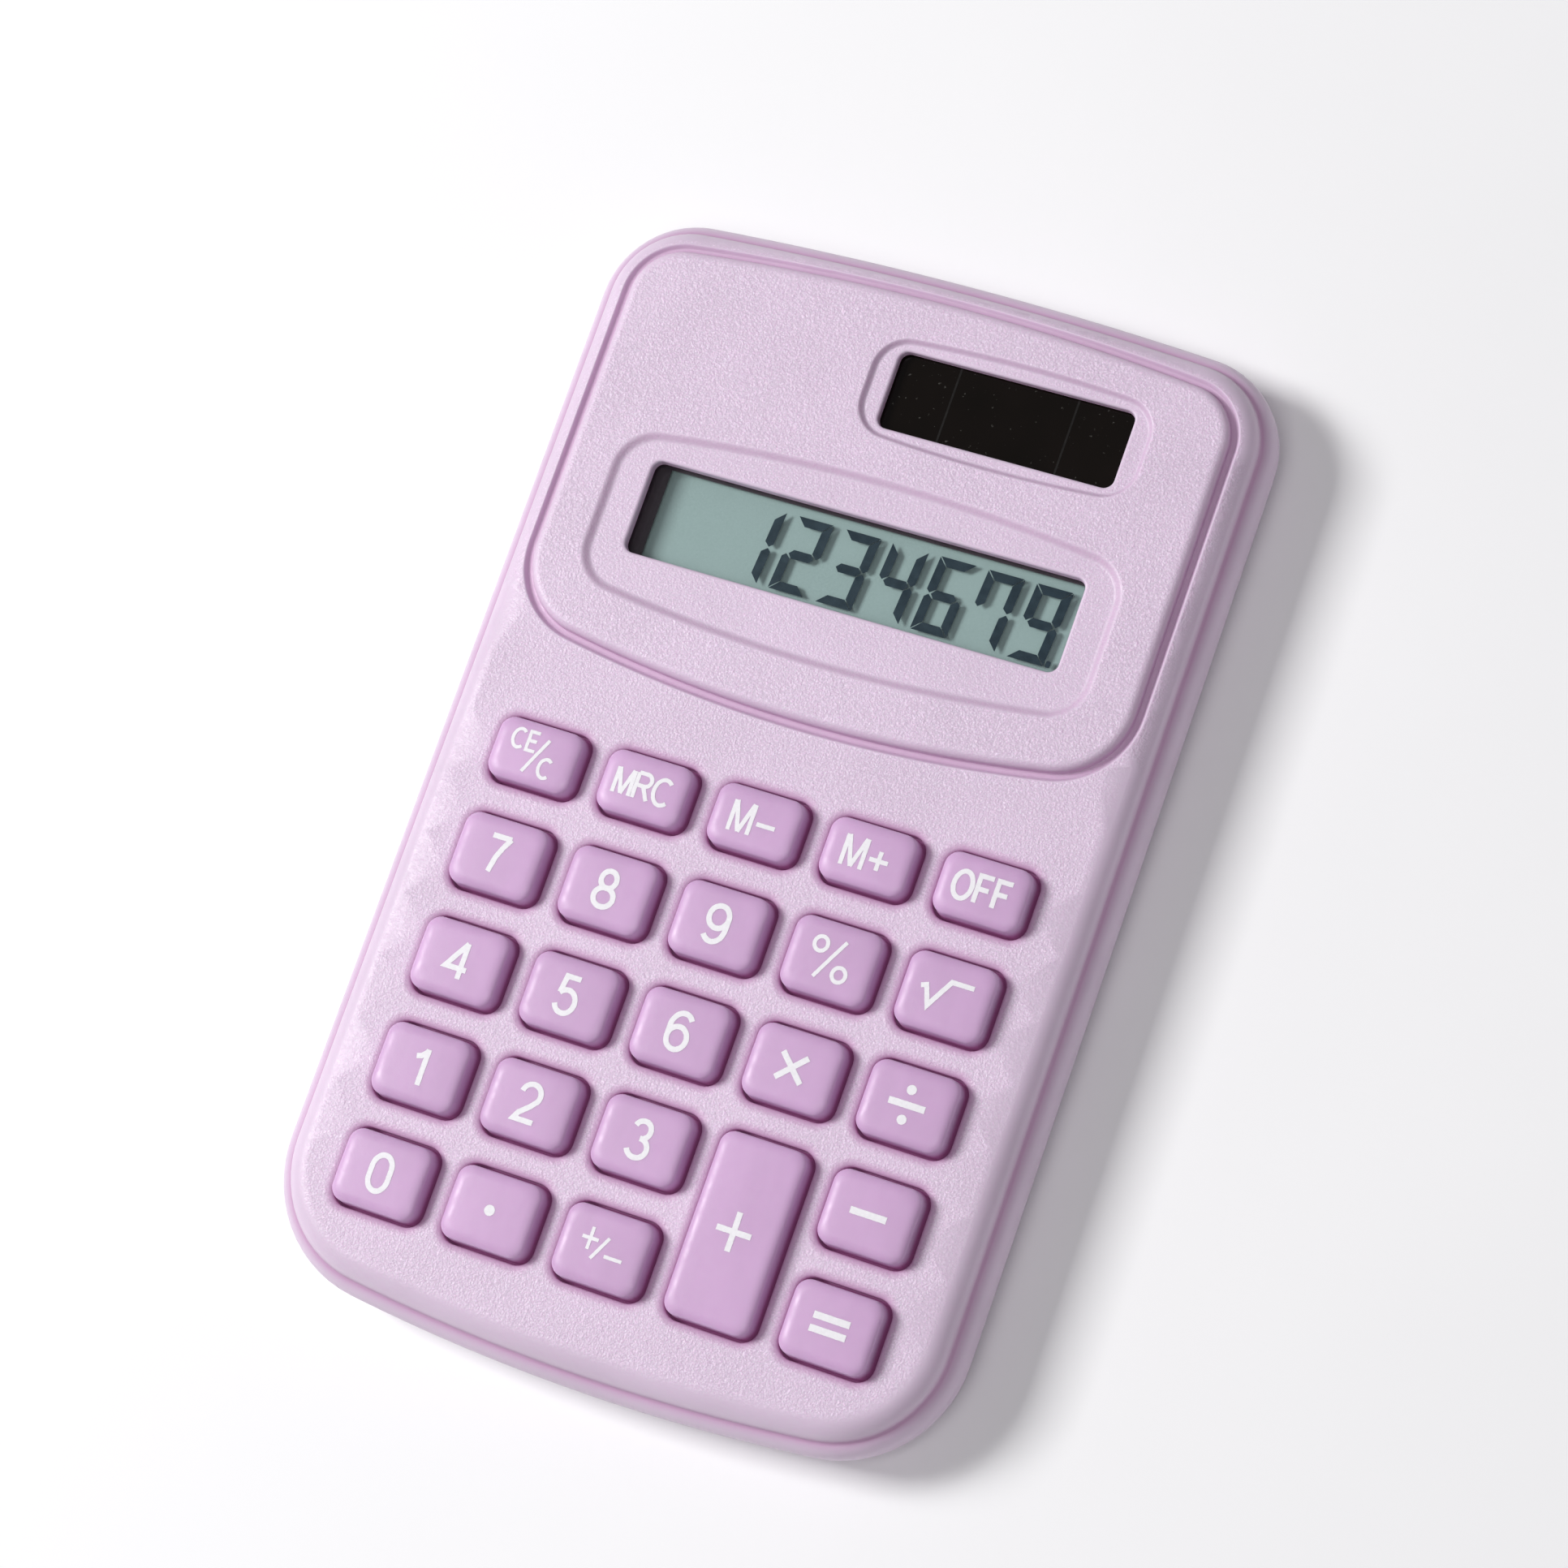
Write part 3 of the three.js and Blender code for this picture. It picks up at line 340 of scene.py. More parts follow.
def s_curve(inset0, z0, inset1, z1, steps, grain=0.0, depth=0.0):
    """From one level face to another: the height follows 3 t^2 - 2 t^3 across the inset."""
    t = np.linspace(0, 1, steps + 1)
    z = z0 + (z1 - z0) * t * t * (3 - 2 * t)
    return marked(inset0 + (inset1 - inset0) * t, z, grain, depth)


def marked(inset, z, grain, depth):
    """A profile from insets and heights, with its two marks, grain and depth (painted shade), each one number
    or one for each row.
    """
    count = len(inset)
    return np.column_stack([inset, z, np.broadcast_to(grain, count), np.broadcast_to(depth, count)])


def rows(*points):
    """A profile written out point by point: inset, z and, where they aren't nought, grain and depth, the
    painted-shade mark.
    """
    return np.array([tuple(p) + (0.0,) * (4 - len(p)) for p in points])


# ---------------------------------------- closed meshes


class Skin:
    """A closed mesh put together from rings, the bands between them and the level faces that join them.

    A band's rings follow each other so that the material is on the inner side: outwards underneath,
    upwards outside, inwards on top and downwards inside an opening.
    """

    def __init__(self):
        self.points, self.marks, self.quads, self.triangles = [], [], [], []
        self.count = 0

    def ring(self, outline, z, grain=0.0, depth=0.0):
        """Adds points and returns their numbers. The height is one number or one for each point."""
        count = len(outline)
        self.points.append(np.column_stack([outline, np.broadcast_to(z, count)]))
        self.marks.append(np.broadcast_to([grain, depth], (count, 2)))
        self.count += count
        return np.arange(self.count - count, self.count)

    def band(self, first, second):
        self.quads.append(np.column_stack([first, np.roll(first, -1), np.roll(second, -1), second]))

    def loft(self, shape, profile):
        """Rings of shape(inset) at each row of the profile, joined in order. Gives the two end rings."""
        rings = [self.ring(shape(inset), z, grain, depth) for inset, z, grain, depth in profile]
        for first, second in zip(rings, rings[1:]):
            self.band(first, second)
        return rings[0], rings[-1]

    def fan(self, ring, centre_point, up=True):
        """Closes a ring with triangles to one point."""
        tip = self.ring(np.array([centre_point[:2]]), centre_point[2])
        following = np.roll(ring, -1) if up else np.roll(ring, 1)
        self.triangles.append(np.column_stack([ring, following, np.broadcast_to(tip, len(ring))]))

    def flat(self, outer, holes=(), up=True, loose=()):
        """A face inside the outer ring and outside the holes, in Delaunay triangles.

        The triangles use the loose points too.
        A triangle is kept where a line from its middle crosses the rings an odd number of times.
        """
        loops = [outer, *holes]
        numbers = np.concatenate([*loops, np.array(loose, int)])
        place = np.vstack(self.points)[numbers][:, :2] / MM
        starts = np.cumsum([0] + [len(loop) for loop in loops])
        edges = [np.column_stack([np.arange(a, b), np.roll(np.arange(a, b), -1)])
                 for a, b in zip(starts, starts[1:])]
        edges = np.vstack(edges)
        made = delaunay_2d_cdt([Vector(p) for p in place], edges.tolist(), [], 0, 1e-7, True)
        found = np.array([first[0] for first in made[3]])
        faces = found[np.array(made[2])]
        faces = faces[within(place[faces].mean(axis=1), place[edges[:, 0]], place[edges[:, 1]])]
        p, q, r = (place[faces[:, i]] for i in range(3))
        area = np.cross(q - p, r - p)
        faces = np.where((area > 0)[:, None], faces, faces[:, ::-1])
        self.triangles.append(numbers[faces if up else faces[:, ::-1]])

    def build(self, name, material, sharp=40):
        """Makes the object, smooth but for edges that turn by more than the sharp angle in degrees."""
        data = bpy.data.meshes.new(name)
        faces = [face for part in self.quads + self.triangles for face in part.tolist()]
        data.from_pydata(np.vstack(self.points).tolist(), [], faces)
        marks = np.vstack(self.marks).astype(np.float32)
        # The second mark is painted shade: how far each point is darkened in place of the shade that falls in
        # crevices.
        for column, mark in enumerate(("grain", "crevice_shade")):
            attribute = data.attributes.new(mark, "FLOAT", "POINT")
            attribute.data.foreach_set("value", marks[:, column].copy())
        return finished(name, data, material, sharp)


def finished(name, data, material, sharp):
    """An object at the origin with smooth shading and one material."""
    data.polygons.foreach_set("use_smooth", np.ones(len(data.polygons), bool))
    data.set_sharp_from_angle(angle=math.radians(sharp))
    data.materials.append(material)
    data.update()
    made = bpy.data.objects.new(name, data)
    bpy.context.scene.collection.objects.link(made)
    return made


def prism(outline, low, high, chamfer=0.0):
    """An upright solid over an outline, as a skin."""
    skin = Skin()
    middle = outline.mean(axis=0)
    reach = np.abs(outline - middle).max(axis=0)

    def shape(inset):
        return middle + (outline - middle) * (1 - inset / reach)

    c = chamfer
    profile = rows((c, low), (0, low + c), (0, high - c), (c, high)) if c else rows((0, low), (0, high))
    first, last = skin.loft(shape, profile)
    skin.flat(first, up=False)
    skin.flat(last)
    return skin


def rectangle(x0, x1, y0, y1):
    """The four corners of a level rectangle."""
    return np.array([(x0, y0), (x1, y0), (x1, y1), (x0, y1)])


def merged(skins):
    """Several skins as one, side by side in one mesh."""
    whole = Skin()
    for skin in skins:
        whole.points += skin.points
        whole.marks += skin.marks
        whole.quads += [quad + whole.count for quad in skin.quads]
        whole.triangles += [triangle + whole.count for triangle in skin.triangles]
        whole.count += skin.count
    return whole


def carved(target, name, operation, material):
    """Cuts, joins or meets the target object with a helper object, which is used up."""
    helper = bpy.data.objects[name]
    step = target.modifiers.new(operation.lower(), "BOOLEAN")
    step.operation = operation
    step.object = helper
    step.solver = "EXACT"
    result = bpy.data.meshes.new_from_object(target.evaluated_get(bpy.context.evaluated_depsgraph_get()))
    target.modifiers.clear()
    target.data = result
    result.materials.clear()
    result.materials.append(material)
    result.polygons.foreach_set("use_smooth", np.ones(len(result.polygons), bool))
    result.set_sharp_from_angle(angle=math.radians(40))
    bpy.data.objects.remove(helper)
    return target


def fitted(piece, body, slot, *nodes):
    """Puts a finished piece on its body in place of the CAD nodes that it stands for."""
    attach(piece, body)
    if nodes:
        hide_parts(*nodes)


# ---------------------------------------- lettering: strokes joined into plates


def line(*points, pieces=10):
    """Straight runs between points, each divided evenly."""
    corners = np.array(points, float)
    runs = [np.linspace(a, b, pieces, endpoint=False) for a, b in zip(corners, corners[1:])]
    return np.vstack(runs + [corners[-1:]])


def bend(x, y, reach_x, reach_y, start, end):
    """Part of an ellipse, between two angles in degrees."""
    angle = np.radians(np.linspace(start, end, max(int(abs(end - start) / 9), 2) + 1))
    return np.column_stack([x + reach_x * np.cos(angle), y + reach_y * np.sin(angle)])


def path(*parts):
    """Parts laid end to end as one stroke, without the points that they share."""
    points = np.vstack(parts)
    far = np.linalg.norm(np.diff(points, axis=0), axis=1) > 1e-6
    return points[np.concatenate([[True], far])]


def ribbon(points, width):
    """Four-sided pieces that cover a stroke: one for each step, and a pointed one outside a sharp corner.

    Within a run each point moves along the bisector of its two directions, by half the width over the cosine
    of half the turn. The pointed piece reaches from the corner to where the outer edges would meet.
    """
    steps = np.diff(points, axis=0)
    steps /= np.linalg.norm(steps, axis=1)[:, None]
    turns = (steps[:-1] * steps[1:]).sum(axis=1)
    corners = np.flatnonzero(turns < math.cos(math.radians(SHARPEST_BEND))) + 1
    ends = [0, *corners, len(points) - 1]
    pieces = [run_pieces(points[a : b + 1], width) for a, b in zip(ends, ends[1:])]
    for corner in corners:
        into, out = steps[corner - 1], steps[corner]
        outer = -1 if into[RIGHT] * out[UP] > into[UP] * out[RIGHT] else 1
        first, second = (np.array([-step[UP], step[RIGHT]]) * outer * width / 2 for step in (into, out))
        reach = (first + second) / max(1 + into @ out, 0.3)
        pieces.append(ccw(points[corner] + [np.zeros(2), first, reach, second])[None])
    return np.vstack(pieces)


def run_pieces(points, width):
    """The pieces of a run without sharp corners, mitred where they meet."""
    closed = np.allclose(points[0], points[-1])
    steps = np.diff(points, axis=0)
    steps /= np.linalg.norm(steps, axis=1)[:, None]
    into = np.vstack([steps[-1:] if closed else steps[:1], steps])
    out = np.vstack([steps, steps[:1] if closed else steps[-1:]])
    along = into + out
    along /= np.linalg.norm(along, axis=1)[:, None]
    across = np.column_stack([-along[:, UP], along[:, RIGHT]])
    reach = across * (width / 2 / (along * into).sum(axis=1))[:, None]
    left, right = points + reach, points - reach
    return np.stack([right[:-1], right[1:], left[1:], left[:-1]], axis=1)


def disc(x, y, radius, steps=24):
    """A filled round dot, as one polygon."""
    return circle(x, y, radius, steps)[None]


def mirrored(strokes, width):
    """Strokes turned half round in a box of this width and height one."""
    return [np.array([width, 1.0]) - stroke for stroke in strokes]


SHARPEST_BEND = 25

# Each letter: its width, and its strokes on centre lines in a box of height one.
BOWL = 0.56
SIX = [path(bend(0.28, 0.31, 0.28, 0.31, 0, 360)),
       path(bend(0.31, 0.60, 0.31, 0.40, 38, 180), line((0, 0.6), (0, 0.31)))]
GLYPHS = {
    "0": (BOWL, [path(bend(0.28, 0.64, 0.28, 0.36, 0, 180), bend(0.28, 0.36, 0.28, 0.36, 180, 360),
                      line((0.56, 0.36), (0.56, 0.64)))]),
    "1": (0.42, [line((0.33, 0), (0.33, 1)), line((0.04, 0.75), (0.18, 0.79), (0.29, 0.90), (0.33, 0.98))]),
    "2": (BOWL, [path(bend(0.28, 0.72, 0.27, 0.28, 172, -30),
                      line((0.51, 0.58), (0.36, 0.40), (0.10, 0.18), (0, 0), (0.57, 0)))]),
    "3": (BOWL, [bend(0.27, 0.76, 0.23, 0.24, 162, -90), bend(0.27, 0.265, 0.28, 0.265, 90, -162)]),
    "4": (0.60, [line((0.45, 0), (0.45, 1)), line((0.45, 1), (0, 0.28), (0.62, 0.28))]),
    "5": (BOWL, [line((0.51, 1), (0.11, 1), (0.05, 0.53)), bend(0.27, 0.32, 0.28, 0.32, 142, -160)]),
    "6": (BOWL, SIX),
    "7": (BOWL, [line((0, 1), (0.56, 1)), line((0.55, 1), (0.40, 0.74), (0.27, 0.42), (0.19, 0))]),
    "8": (BOWL, [bend(0.28, 0.76, 0.22, 0.24, 0, 360), bend(0.28, 0.265, 0.28, 0.265, 0, 360)]),
    "9": (BOWL, mirrored(SIX, BOWL)),
    "C": (0.66, [bend(0.36, 0.5, 0.36, 0.5, 48, 312)]),
    "E": (0.50, [line((0.5, 1), (0, 1), (0, 0), (0.5, 0)), line((0, 0.52), (0.46, 0.52))]),
    "F": (0.50, [line((0.5, 1), (0, 1), (0, 0)), line((0, 0.52), (0.43, 0.52))]),
    "M": (0.66, [line((0, 0), (0, 1)), line((0.03, 1), (0.33, 0.02)), line((0.33, 0.02), (0.63, 1)),
                 line((0.66, 1), (0.66, 0))]),
    "O": (0.68, [bend(0.34, 0.5, 0.34, 0.5, 0, 360)]),
    "R": (0.58, [line((0, 0), (0, 1)), path(line((0, 1), (0.33, 1)), bend(0.33, 0.76, 0.24, 0.24, 90, -90),
                                            line((0.33, 0.52), (0, 0.52))), line((0.30, 0.52), (0.58, 0))]),
    "-": (0.62, [line((0, 0.42), (0.62, 0.42))]),
    "+": (0.62, [line((0, 0.42), (0.62, 0.42)), line((0.31, 0.11), (0.31, 0.73))]),
}


def word(text, tall, width, space=0.30, x=0.0, y=0.0):
    """Ribbons of a row of letters about a middle, each letter as tall as asked from edge to edge."""
    size = tall - width
    total = sum(GLYPHS[letter][0] for letter in text) + space * (len(text) - 1)
    at = -total / 2
    ribbons = []
    for letter in text:
        wide, strokes = GLYPHS[letter]
        for stroke in strokes:
            edges = ribbon(stroke * size, width)
            edges[..., UP] = np.clip(edges[..., UP], -width / 2, size + width / 2)
            ribbons.append(edges + [x + at * size, y - size / 2])
        at += wide + space
    return ribbons


def plate(ribbons, name, material, height, thick, rough=0.0, sharp=50):
    """Overlapping flat polygons as one closed plate that follows a surface.

    The top is the union of the polygons. Each point's height is height(x, y), and the underside lies below
    by the thickness. The outline wanders by up to the roughness.
    """
    polygons = [polygon / MM for stroke in ribbons for polygon in stroke]
    place = np.vstack(polygons)
    ends = np.cumsum([0] + [len(polygon) for polygon in polygons])
    edges = [(a + i, a + (i + 1) % (b - a)) for a, b in zip(ends, ends[1:]) for i in range(b - a)]
    made = delaunay_2d_cdt([Vector(p) for p in place], edges, [], 0, 1e-5, False)
    flat, top = np.array([tuple(p) for p in made[0]]), np.array(made[2])
    middles = flat[top].mean(axis=1)
    covered = [within(middles, polygon, np.roll(polygon, -1, axis=0)) for polygon in polygons]
    top, flat = top[np.any(covered, axis=0)], flat * MM
    p, q, r = (flat[top[:, i]] for i in range(3))
    top = np.where((np.cross(q - p, r - p) > 0)[:, None], top, top[:, ::-1])
    used = np.unique(top)
    renumber = np.zeros(len(flat), int)
    renumber[used] = np.arange(len(used))
    top, flat = renumber[top], flat[used]
    edges = np.vstack([top[:, [0, 1]], top[:, [1, 2]], top[:, [2, 0]]])
    keys = edges[:, 0] * len(flat) + edges[:, 1]
    twins = edges[:, 1] * len(flat) + edges[:, 0]
    rim = edges[~np.isin(keys, twins)]
    if rough:
        wander = np.random.default_rng(len(flat)).uniform(-rough, rough, flat.shape)
        edge_points = np.unique(rim)
        flat[edge_points] += wander[edge_points]
    z = height(flat[:, RIGHT], flat[:, UP])
    count = len(flat)
    points = np.vstack([np.column_stack([flat, z]), np.column_stack([flat, z - thick])])
    sides = np.column_stack([rim[:, 1], rim[:, 0], rim[:, 0] + count, rim[:, 1] + count])
    data = bpy.data.meshes.new(name)
    data.from_pydata(points.tolist(), [], top.tolist() + (top[:, ::-1] + count).tolist() + sides.tolist())
    return finished(name, data, material, sharp)


# ---------------------------------------- finishes


class Finish:
    """A node material under construction, with patterns on the piece's own coordinates."""

    def __init__(self, name, roughness=0.5, metallic=0.0, specular=0.5):
        self.material = bpy.data.materials.new(name)
        self.material.use_nodes = True
        self.tree = self.material.node_tree
        self.shader = self.tree.nodes["Principled BSDF"]
        self.shader.inputs["Roughness"].default_value = roughness
        self.shader.inputs["Metallic"].default_value = metallic
        self.shader.inputs["Specular IOR Level"].default_value = specular
        self.place = self.node("ShaderNodeTexCoord").outputs["Object"]

    def node(self, kind, **settings):
        made = self.tree.nodes.new(kind)
        for name, value in settings.items():
            setattr(made, name, value)
        return made

    def link(self, source, target):
        self.tree.links.new(source, target)

    def set(self, socket, source):
        self.link(source, self.shader.inputs[socket])

    def soften(self, weight, reach):
        """Lets light spread under the skin of a slightly translucent plastic."""
        self.shader.inputs["Subsurface Weight"].default_value = weight
        self.shader.inputs["Subsurface Radius"].default_value = (1.0, 0.75, 0.9)
        self.shader.inputs["Subsurface Scale"].default_value = reach

    def painted_glow(self, factor, tint, strength):
        """Painted light: a faint emission where the factor is high, standing in for light that comes through
        thin plastic into narrow gaps.
        """
        self.shader.inputs["Emission Color"].default_value = (*tint, 1)
        self.link(self.spread(factor, 0, strength, 0.3, 1.0), self.shader.inputs["Emission Strength"])

    def noise(self, size, detail=2.0, stretch=(1, 1, 1)):
        """Noise whose features are about this size in metres, longer where the stretch is over one."""
        mapping = self.node("ShaderNodeMapping")
        mapping.inputs["Scale"].default_value = [1 / s for s in stretch]
        self.link(self.place, mapping.inputs["Vector"])
        made = self.node("ShaderNodeTexNoise")
        made.inputs["Scale"].default_value = 1 / size
        made.inputs["Detail"].default_value = detail
        self.link(mapping.outputs["Vector"], made.inputs["Vector"])
        return made.outputs["Fac"]

    def cells(self, size, feature="F1"):
        made = self.node("ShaderNodeTexVoronoi", feature=feature)
        made.inputs["Scale"].default_value = 1 / size
        self.link(self.place, made.inputs["Vector"])
        return made.outputs["Distance"]

    def stripes(self, size, axis):
        made = self.node("ShaderNodeTexWave", wave_type="BANDS", bands_direction=axis)
        made.inputs["Scale"].default_value = 1 / size / 20 * TURN
        self.link(self.place, made.inputs["Vector"])
        return made.outputs["Fac"]

    def attribute(self, name):
        return self.node("ShaderNodeAttribute", attribute_name=name).outputs["Fac"]

    def spread(self, factor, low, high, start=0.0, end=1.0):
        """Maps a factor from start..end to low..high."""
        made = self.node("ShaderNodeMapRange")
        for socket, value in (("From Min", start), ("From Max", end), ("To Min", low), ("To Max", high)):
            made.inputs[socket].default_value = value
        self.link(factor, made.inputs["Value"])
        return made.outputs["Result"]

    def times(self, first, second):
        made = self.node("ShaderNodeMath", operation="MULTIPLY")
        self.link(first, made.inputs[0])
        self.link(second, made.inputs[1])
        return made.outputs[0]

    def blend(self, factor, first, second):
        """A colour between two, each a colour or a socket."""
        made = self.node("ShaderNodeMix", data_type="RGBA")
        self.link(factor, made.inputs["Factor"])
        for value, socket in ((first, made.inputs[6]), (second, made.inputs[7])):
            if isinstance(value, bpy.types.NodeSocket):
                self.link(value, socket)
            else:
                socket.default_value = (*value, 1)
        return made.outputs[2]

    def bump(self, height, distance, strength=1.0, over=None):
        """Raises the surface by the height, 0 to 1 times the distance in metres."""
        made = self.node("ShaderNodeBump")
        made.inputs["Distance"].default_value = distance
        if isinstance(strength, bpy.types.NodeSocket):
            self.link(strength, made.inputs["Strength"])
        else:
            made.inputs["Strength"].default_value = strength
        self.link(height, made.inputs["Height"])
        if over is not None:
            self.link(over, made.inputs["Normal"])
        return made.outputs["Normal"]


def shade(value, share):
    """A colour made darker or lighter by a share."""
    return tuple(min(c * share, 1.0) for c in value)


def shell_plastic(look):
    """Moulded plastic with a spark-eroded grain where the grain mark is one and a satin skin elsewhere."""
    paint = Finish("shell_plastic", roughness=0.42)
    paint.soften(0.5, 0.5 * MM)
    cloud = paint.noise(9 * MM, 3)
    grain = paint.attribute("grain")
    fine = paint.noise(0.17 * MM, 1.5)
    coarse = paint.noise(0.33 * MM, 1)
    cloud = paint.spread(cloud, 0, 1, 0.35, 0.65)
    body = paint.blend(cloud, shade(look.shell, 0.97), shade(look.shell, 1.02))
    # Painted highlight: lighter specks on the grained faces stand in for the grain's glints.
    glint_fleck = paint.times(paint.spread(fine, 0, 1, 0.5, 0.72), grain)
    body = paint.blend(glint_fleck, body, shade(look.shell, 1.22))
    # Painted shade: the colour turns darker towards the crevice colour where the crevice mark is high.
    body = paint.blend(paint.attribute("crevice_shade"), body, look.shell_painted_shade)
    paint.set("Base Color", body)
    # Painted light: a faint glow in the shell's crevices.
    paint.painted_glow(paint.attribute("crevice_shade"), look.shell_painted_shade, 0.05)
    satin = paint.bump(paint.noise(0.6 * MM, 2), 0.006 * MM)
    rough = paint.bump(coarse, 0.06 * MM, paint.spread(grain, 0.02, 1.0), over=satin)
    paint.set("Normal", paint.bump(fine, 0.07 * MM, paint.spread(grain, 0.02, 1.0), over=rough))
    paint.set("Roughness", paint.spread(paint.noise(0.5 * MM), 0.36, 0.5, 0.3, 0.7))
    return paint.material


def key_plastic(look):
    """Smooth satin plastic with a faint flow mark and painted shade on its walls inside the openings."""
    paint = Finish("key_plastic", roughness=0.4)
    paint.soften(0.5, 0.5 * MM)
    cloud = paint.noise(4 * MM, 3, stretch=(1, 2.5, 1))
    cloud = paint.spread(cloud, 0, 1, 0.35, 0.65)
    body = paint.blend(cloud, shade(look.key, 0.96), shade(look.key, 1.03))
    # Painted shade: the key turns darker towards the key crevice colour where the crevice mark is high.
    paint.set("Base Color", paint.blend(paint.attribute("crevice_shade"), body, look.key_painted_shade))
    # Painted light: a faint glow on the key walls inside the openings.
    paint.painted_glow(paint.attribute("crevice_shade"), look.key_painted_shade, 0.07)
    skin = paint.bump(paint.noise(1.4 * MM, 2), 0.012 * MM)
    paint.set("Normal", paint.bump(paint.noise(0.12 * MM, 2), 0.003 * MM, over=skin))
    paint.set("Roughness", paint.spread(paint.noise(0.8 * MM, 3), 0.34, 0.48, 0.3, 0.7))
    return paint.material


def legend_ink(look):
    """White printed ink, a little uneven."""
    paint = Finish("legend_ink", roughness=0.5)
    patch = paint.spread(paint.noise(0.25 * MM, 3), 0, 1, 0.3, 0.75)
    paint.set("Base Color", paint.blend(patch, shade(look.legend, 0.93), look.legend))
    paint.set("Normal", paint.bump(paint.noise(0.1 * MM, 2), 0.006 * MM))
    paint.set("Roughness", paint.spread(patch, 0.62, 0.45))
    return paint.material


def clear_cover(name, tint, gloss):
    """A clear sheet: light goes straight through, and more is reflected with the slant to the fifth power."""
    paint = Finish(name)
    paint.tree.nodes.remove(paint.shader)
    through = paint.node("ShaderNodeBsdfTransparent")
    through.inputs["Color"].default_value = (*tint, 1)
    mirror = paint.node("ShaderNodeBsdfGlossy")
    mirror.inputs["Roughness"].default_value = gloss
    facing = paint.node("ShaderNodeLayerWeight")
    facing.inputs["Blend"].default_value = 0.5
    slant = facing.outputs["Facing"]
    square = paint.times(slant, slant)
    fifth = paint.times(paint.times(square, square), slant)
    dust = paint.spread(paint.noise(1.5 * MM, 3), 0.8, 1.0, 0.3, 0.7)
    both = paint.node("ShaderNodeMixShader")
    paint.link(paint.times(paint.spread(fifth, 0.035, 1.0), dust), both.inputs["Fac"])
    paint.link(through.outputs["BSDF"], both.inputs[1])
    paint.link(mirror.outputs["BSDF"], both.inputs[2])
    paint.link(both.outputs["Shader"], paint.tree.nodes["Material Output"].inputs["Surface"])
    return paint.material


def mottled(name, base, roughness=0.5, size=2.0, swing=0.1, bump=0.01, grain=0.3, metallic=0.0,
            stretch=(1, 1, 1)):
    """A finish whose colour and roughness wander over the surface, with a fine grain raised on it."""
    paint = Finish(name, metallic=metallic)
    cloud = paint.spread(paint.noise(size * MM, 4, stretch), 0, 1, 0.3, 0.7)
    paint.set("Base Color", paint.blend(cloud, shade(base, 1 - swing), shade(base, 1 + swing)))
    paint.set("Roughness", paint.spread(cloud, roughness * 0.85, min(roughness * 1.2, 1)))
    paint.set("Normal", paint.bump(paint.noise(grain * MM, 2, stretch), bump * MM))
    return paint.material


def board_laminate():
    """Phenolic board: tan laminate with green-lacquered tracks seen through its lacquer."""
    paint = Finish("board_laminate", roughness=0.4)
    tracks = paint.spread(paint.cells(2.6 * MM, "DISTANCE_TO_EDGE"), 0, 1, 0.10, 0.13)
    weave = paint.spread(paint.noise(0.8 * MM, 4, (1, 3, 1)), 0, 1, 0.35, 0.65)
    laminate = paint.blend(weave, (0.38, 0.22, 0.07), (0.46, 0.28, 0.10))
    paint.set("Base Color", paint.blend(tracks, (0.05, 0.20, 0.09), laminate))
    paint.set("Normal", paint.bump(tracks, 0.03 * MM))
    paint.set("Roughness", paint.spread(weave, 0.32, 0.48))
    return paint.material


def contact_rubber():
    """Striped rubber: black conducting layers between pale ones."""
    paint = Finish("contact_rubber", roughness=0.6)
    layers = paint.stripes(0.3 * MM, "X")
    paint.set("Base Color", paint.blend(layers, (0.03, 0.03, 0.03), (0.72, 0.66, 0.62)))
    paint.set("Normal", paint.bump(paint.noise(0.3 * MM), 0.01 * MM))
    return paint.material


def solar_film():
    """Dark amorphous silicon with a brown sheen and small grey specks."""
    paint = Finish("solar_film", roughness=0.12, specular=0.25)
    cloud = paint.spread(paint.noise(6 * MM, 3), 0, 1, 0.3, 0.7)
    specks = paint.spread(paint.noise(0.35 * MM, 2), 0, 1, 0.70, 0.78)
    dark = paint.blend(cloud, (0.004, 0.003, 0.002), (0.006, 0.004, 0.003))
    paint.set("Base Color", paint.blend(specks, dark, (0.05, 0.047, 0.042)))
    paint.set("Roughness", paint.spread(specks, 0.1, 0.4))
    paint.set("Normal", paint.bump(paint.noise(0.5 * MM, 2), 0.002 * MM))
    return paint.material


def reflector(look):
    """The display's reflecting film: grey green, finely mottled."""
    paint = Finish("reflector", roughness=0.55)
    cloud = paint.spread(paint.noise(7 * MM, 2), 0, 1, 0.3, 0.7)
    speck = paint.spread(paint.noise(0.2 * MM, 2), 0, 1, 0.25, 0.75)
    base = paint.blend(cloud, shade(look.display, 0.95), shade(look.display, 1.04))
    paint.set("Base Color", paint.blend(speck, base, shade(look.display, 1.08)))
    paint.set("Normal", paint.bump(speck, 0.004 * MM))
    return paint.material


FINISHES = {}


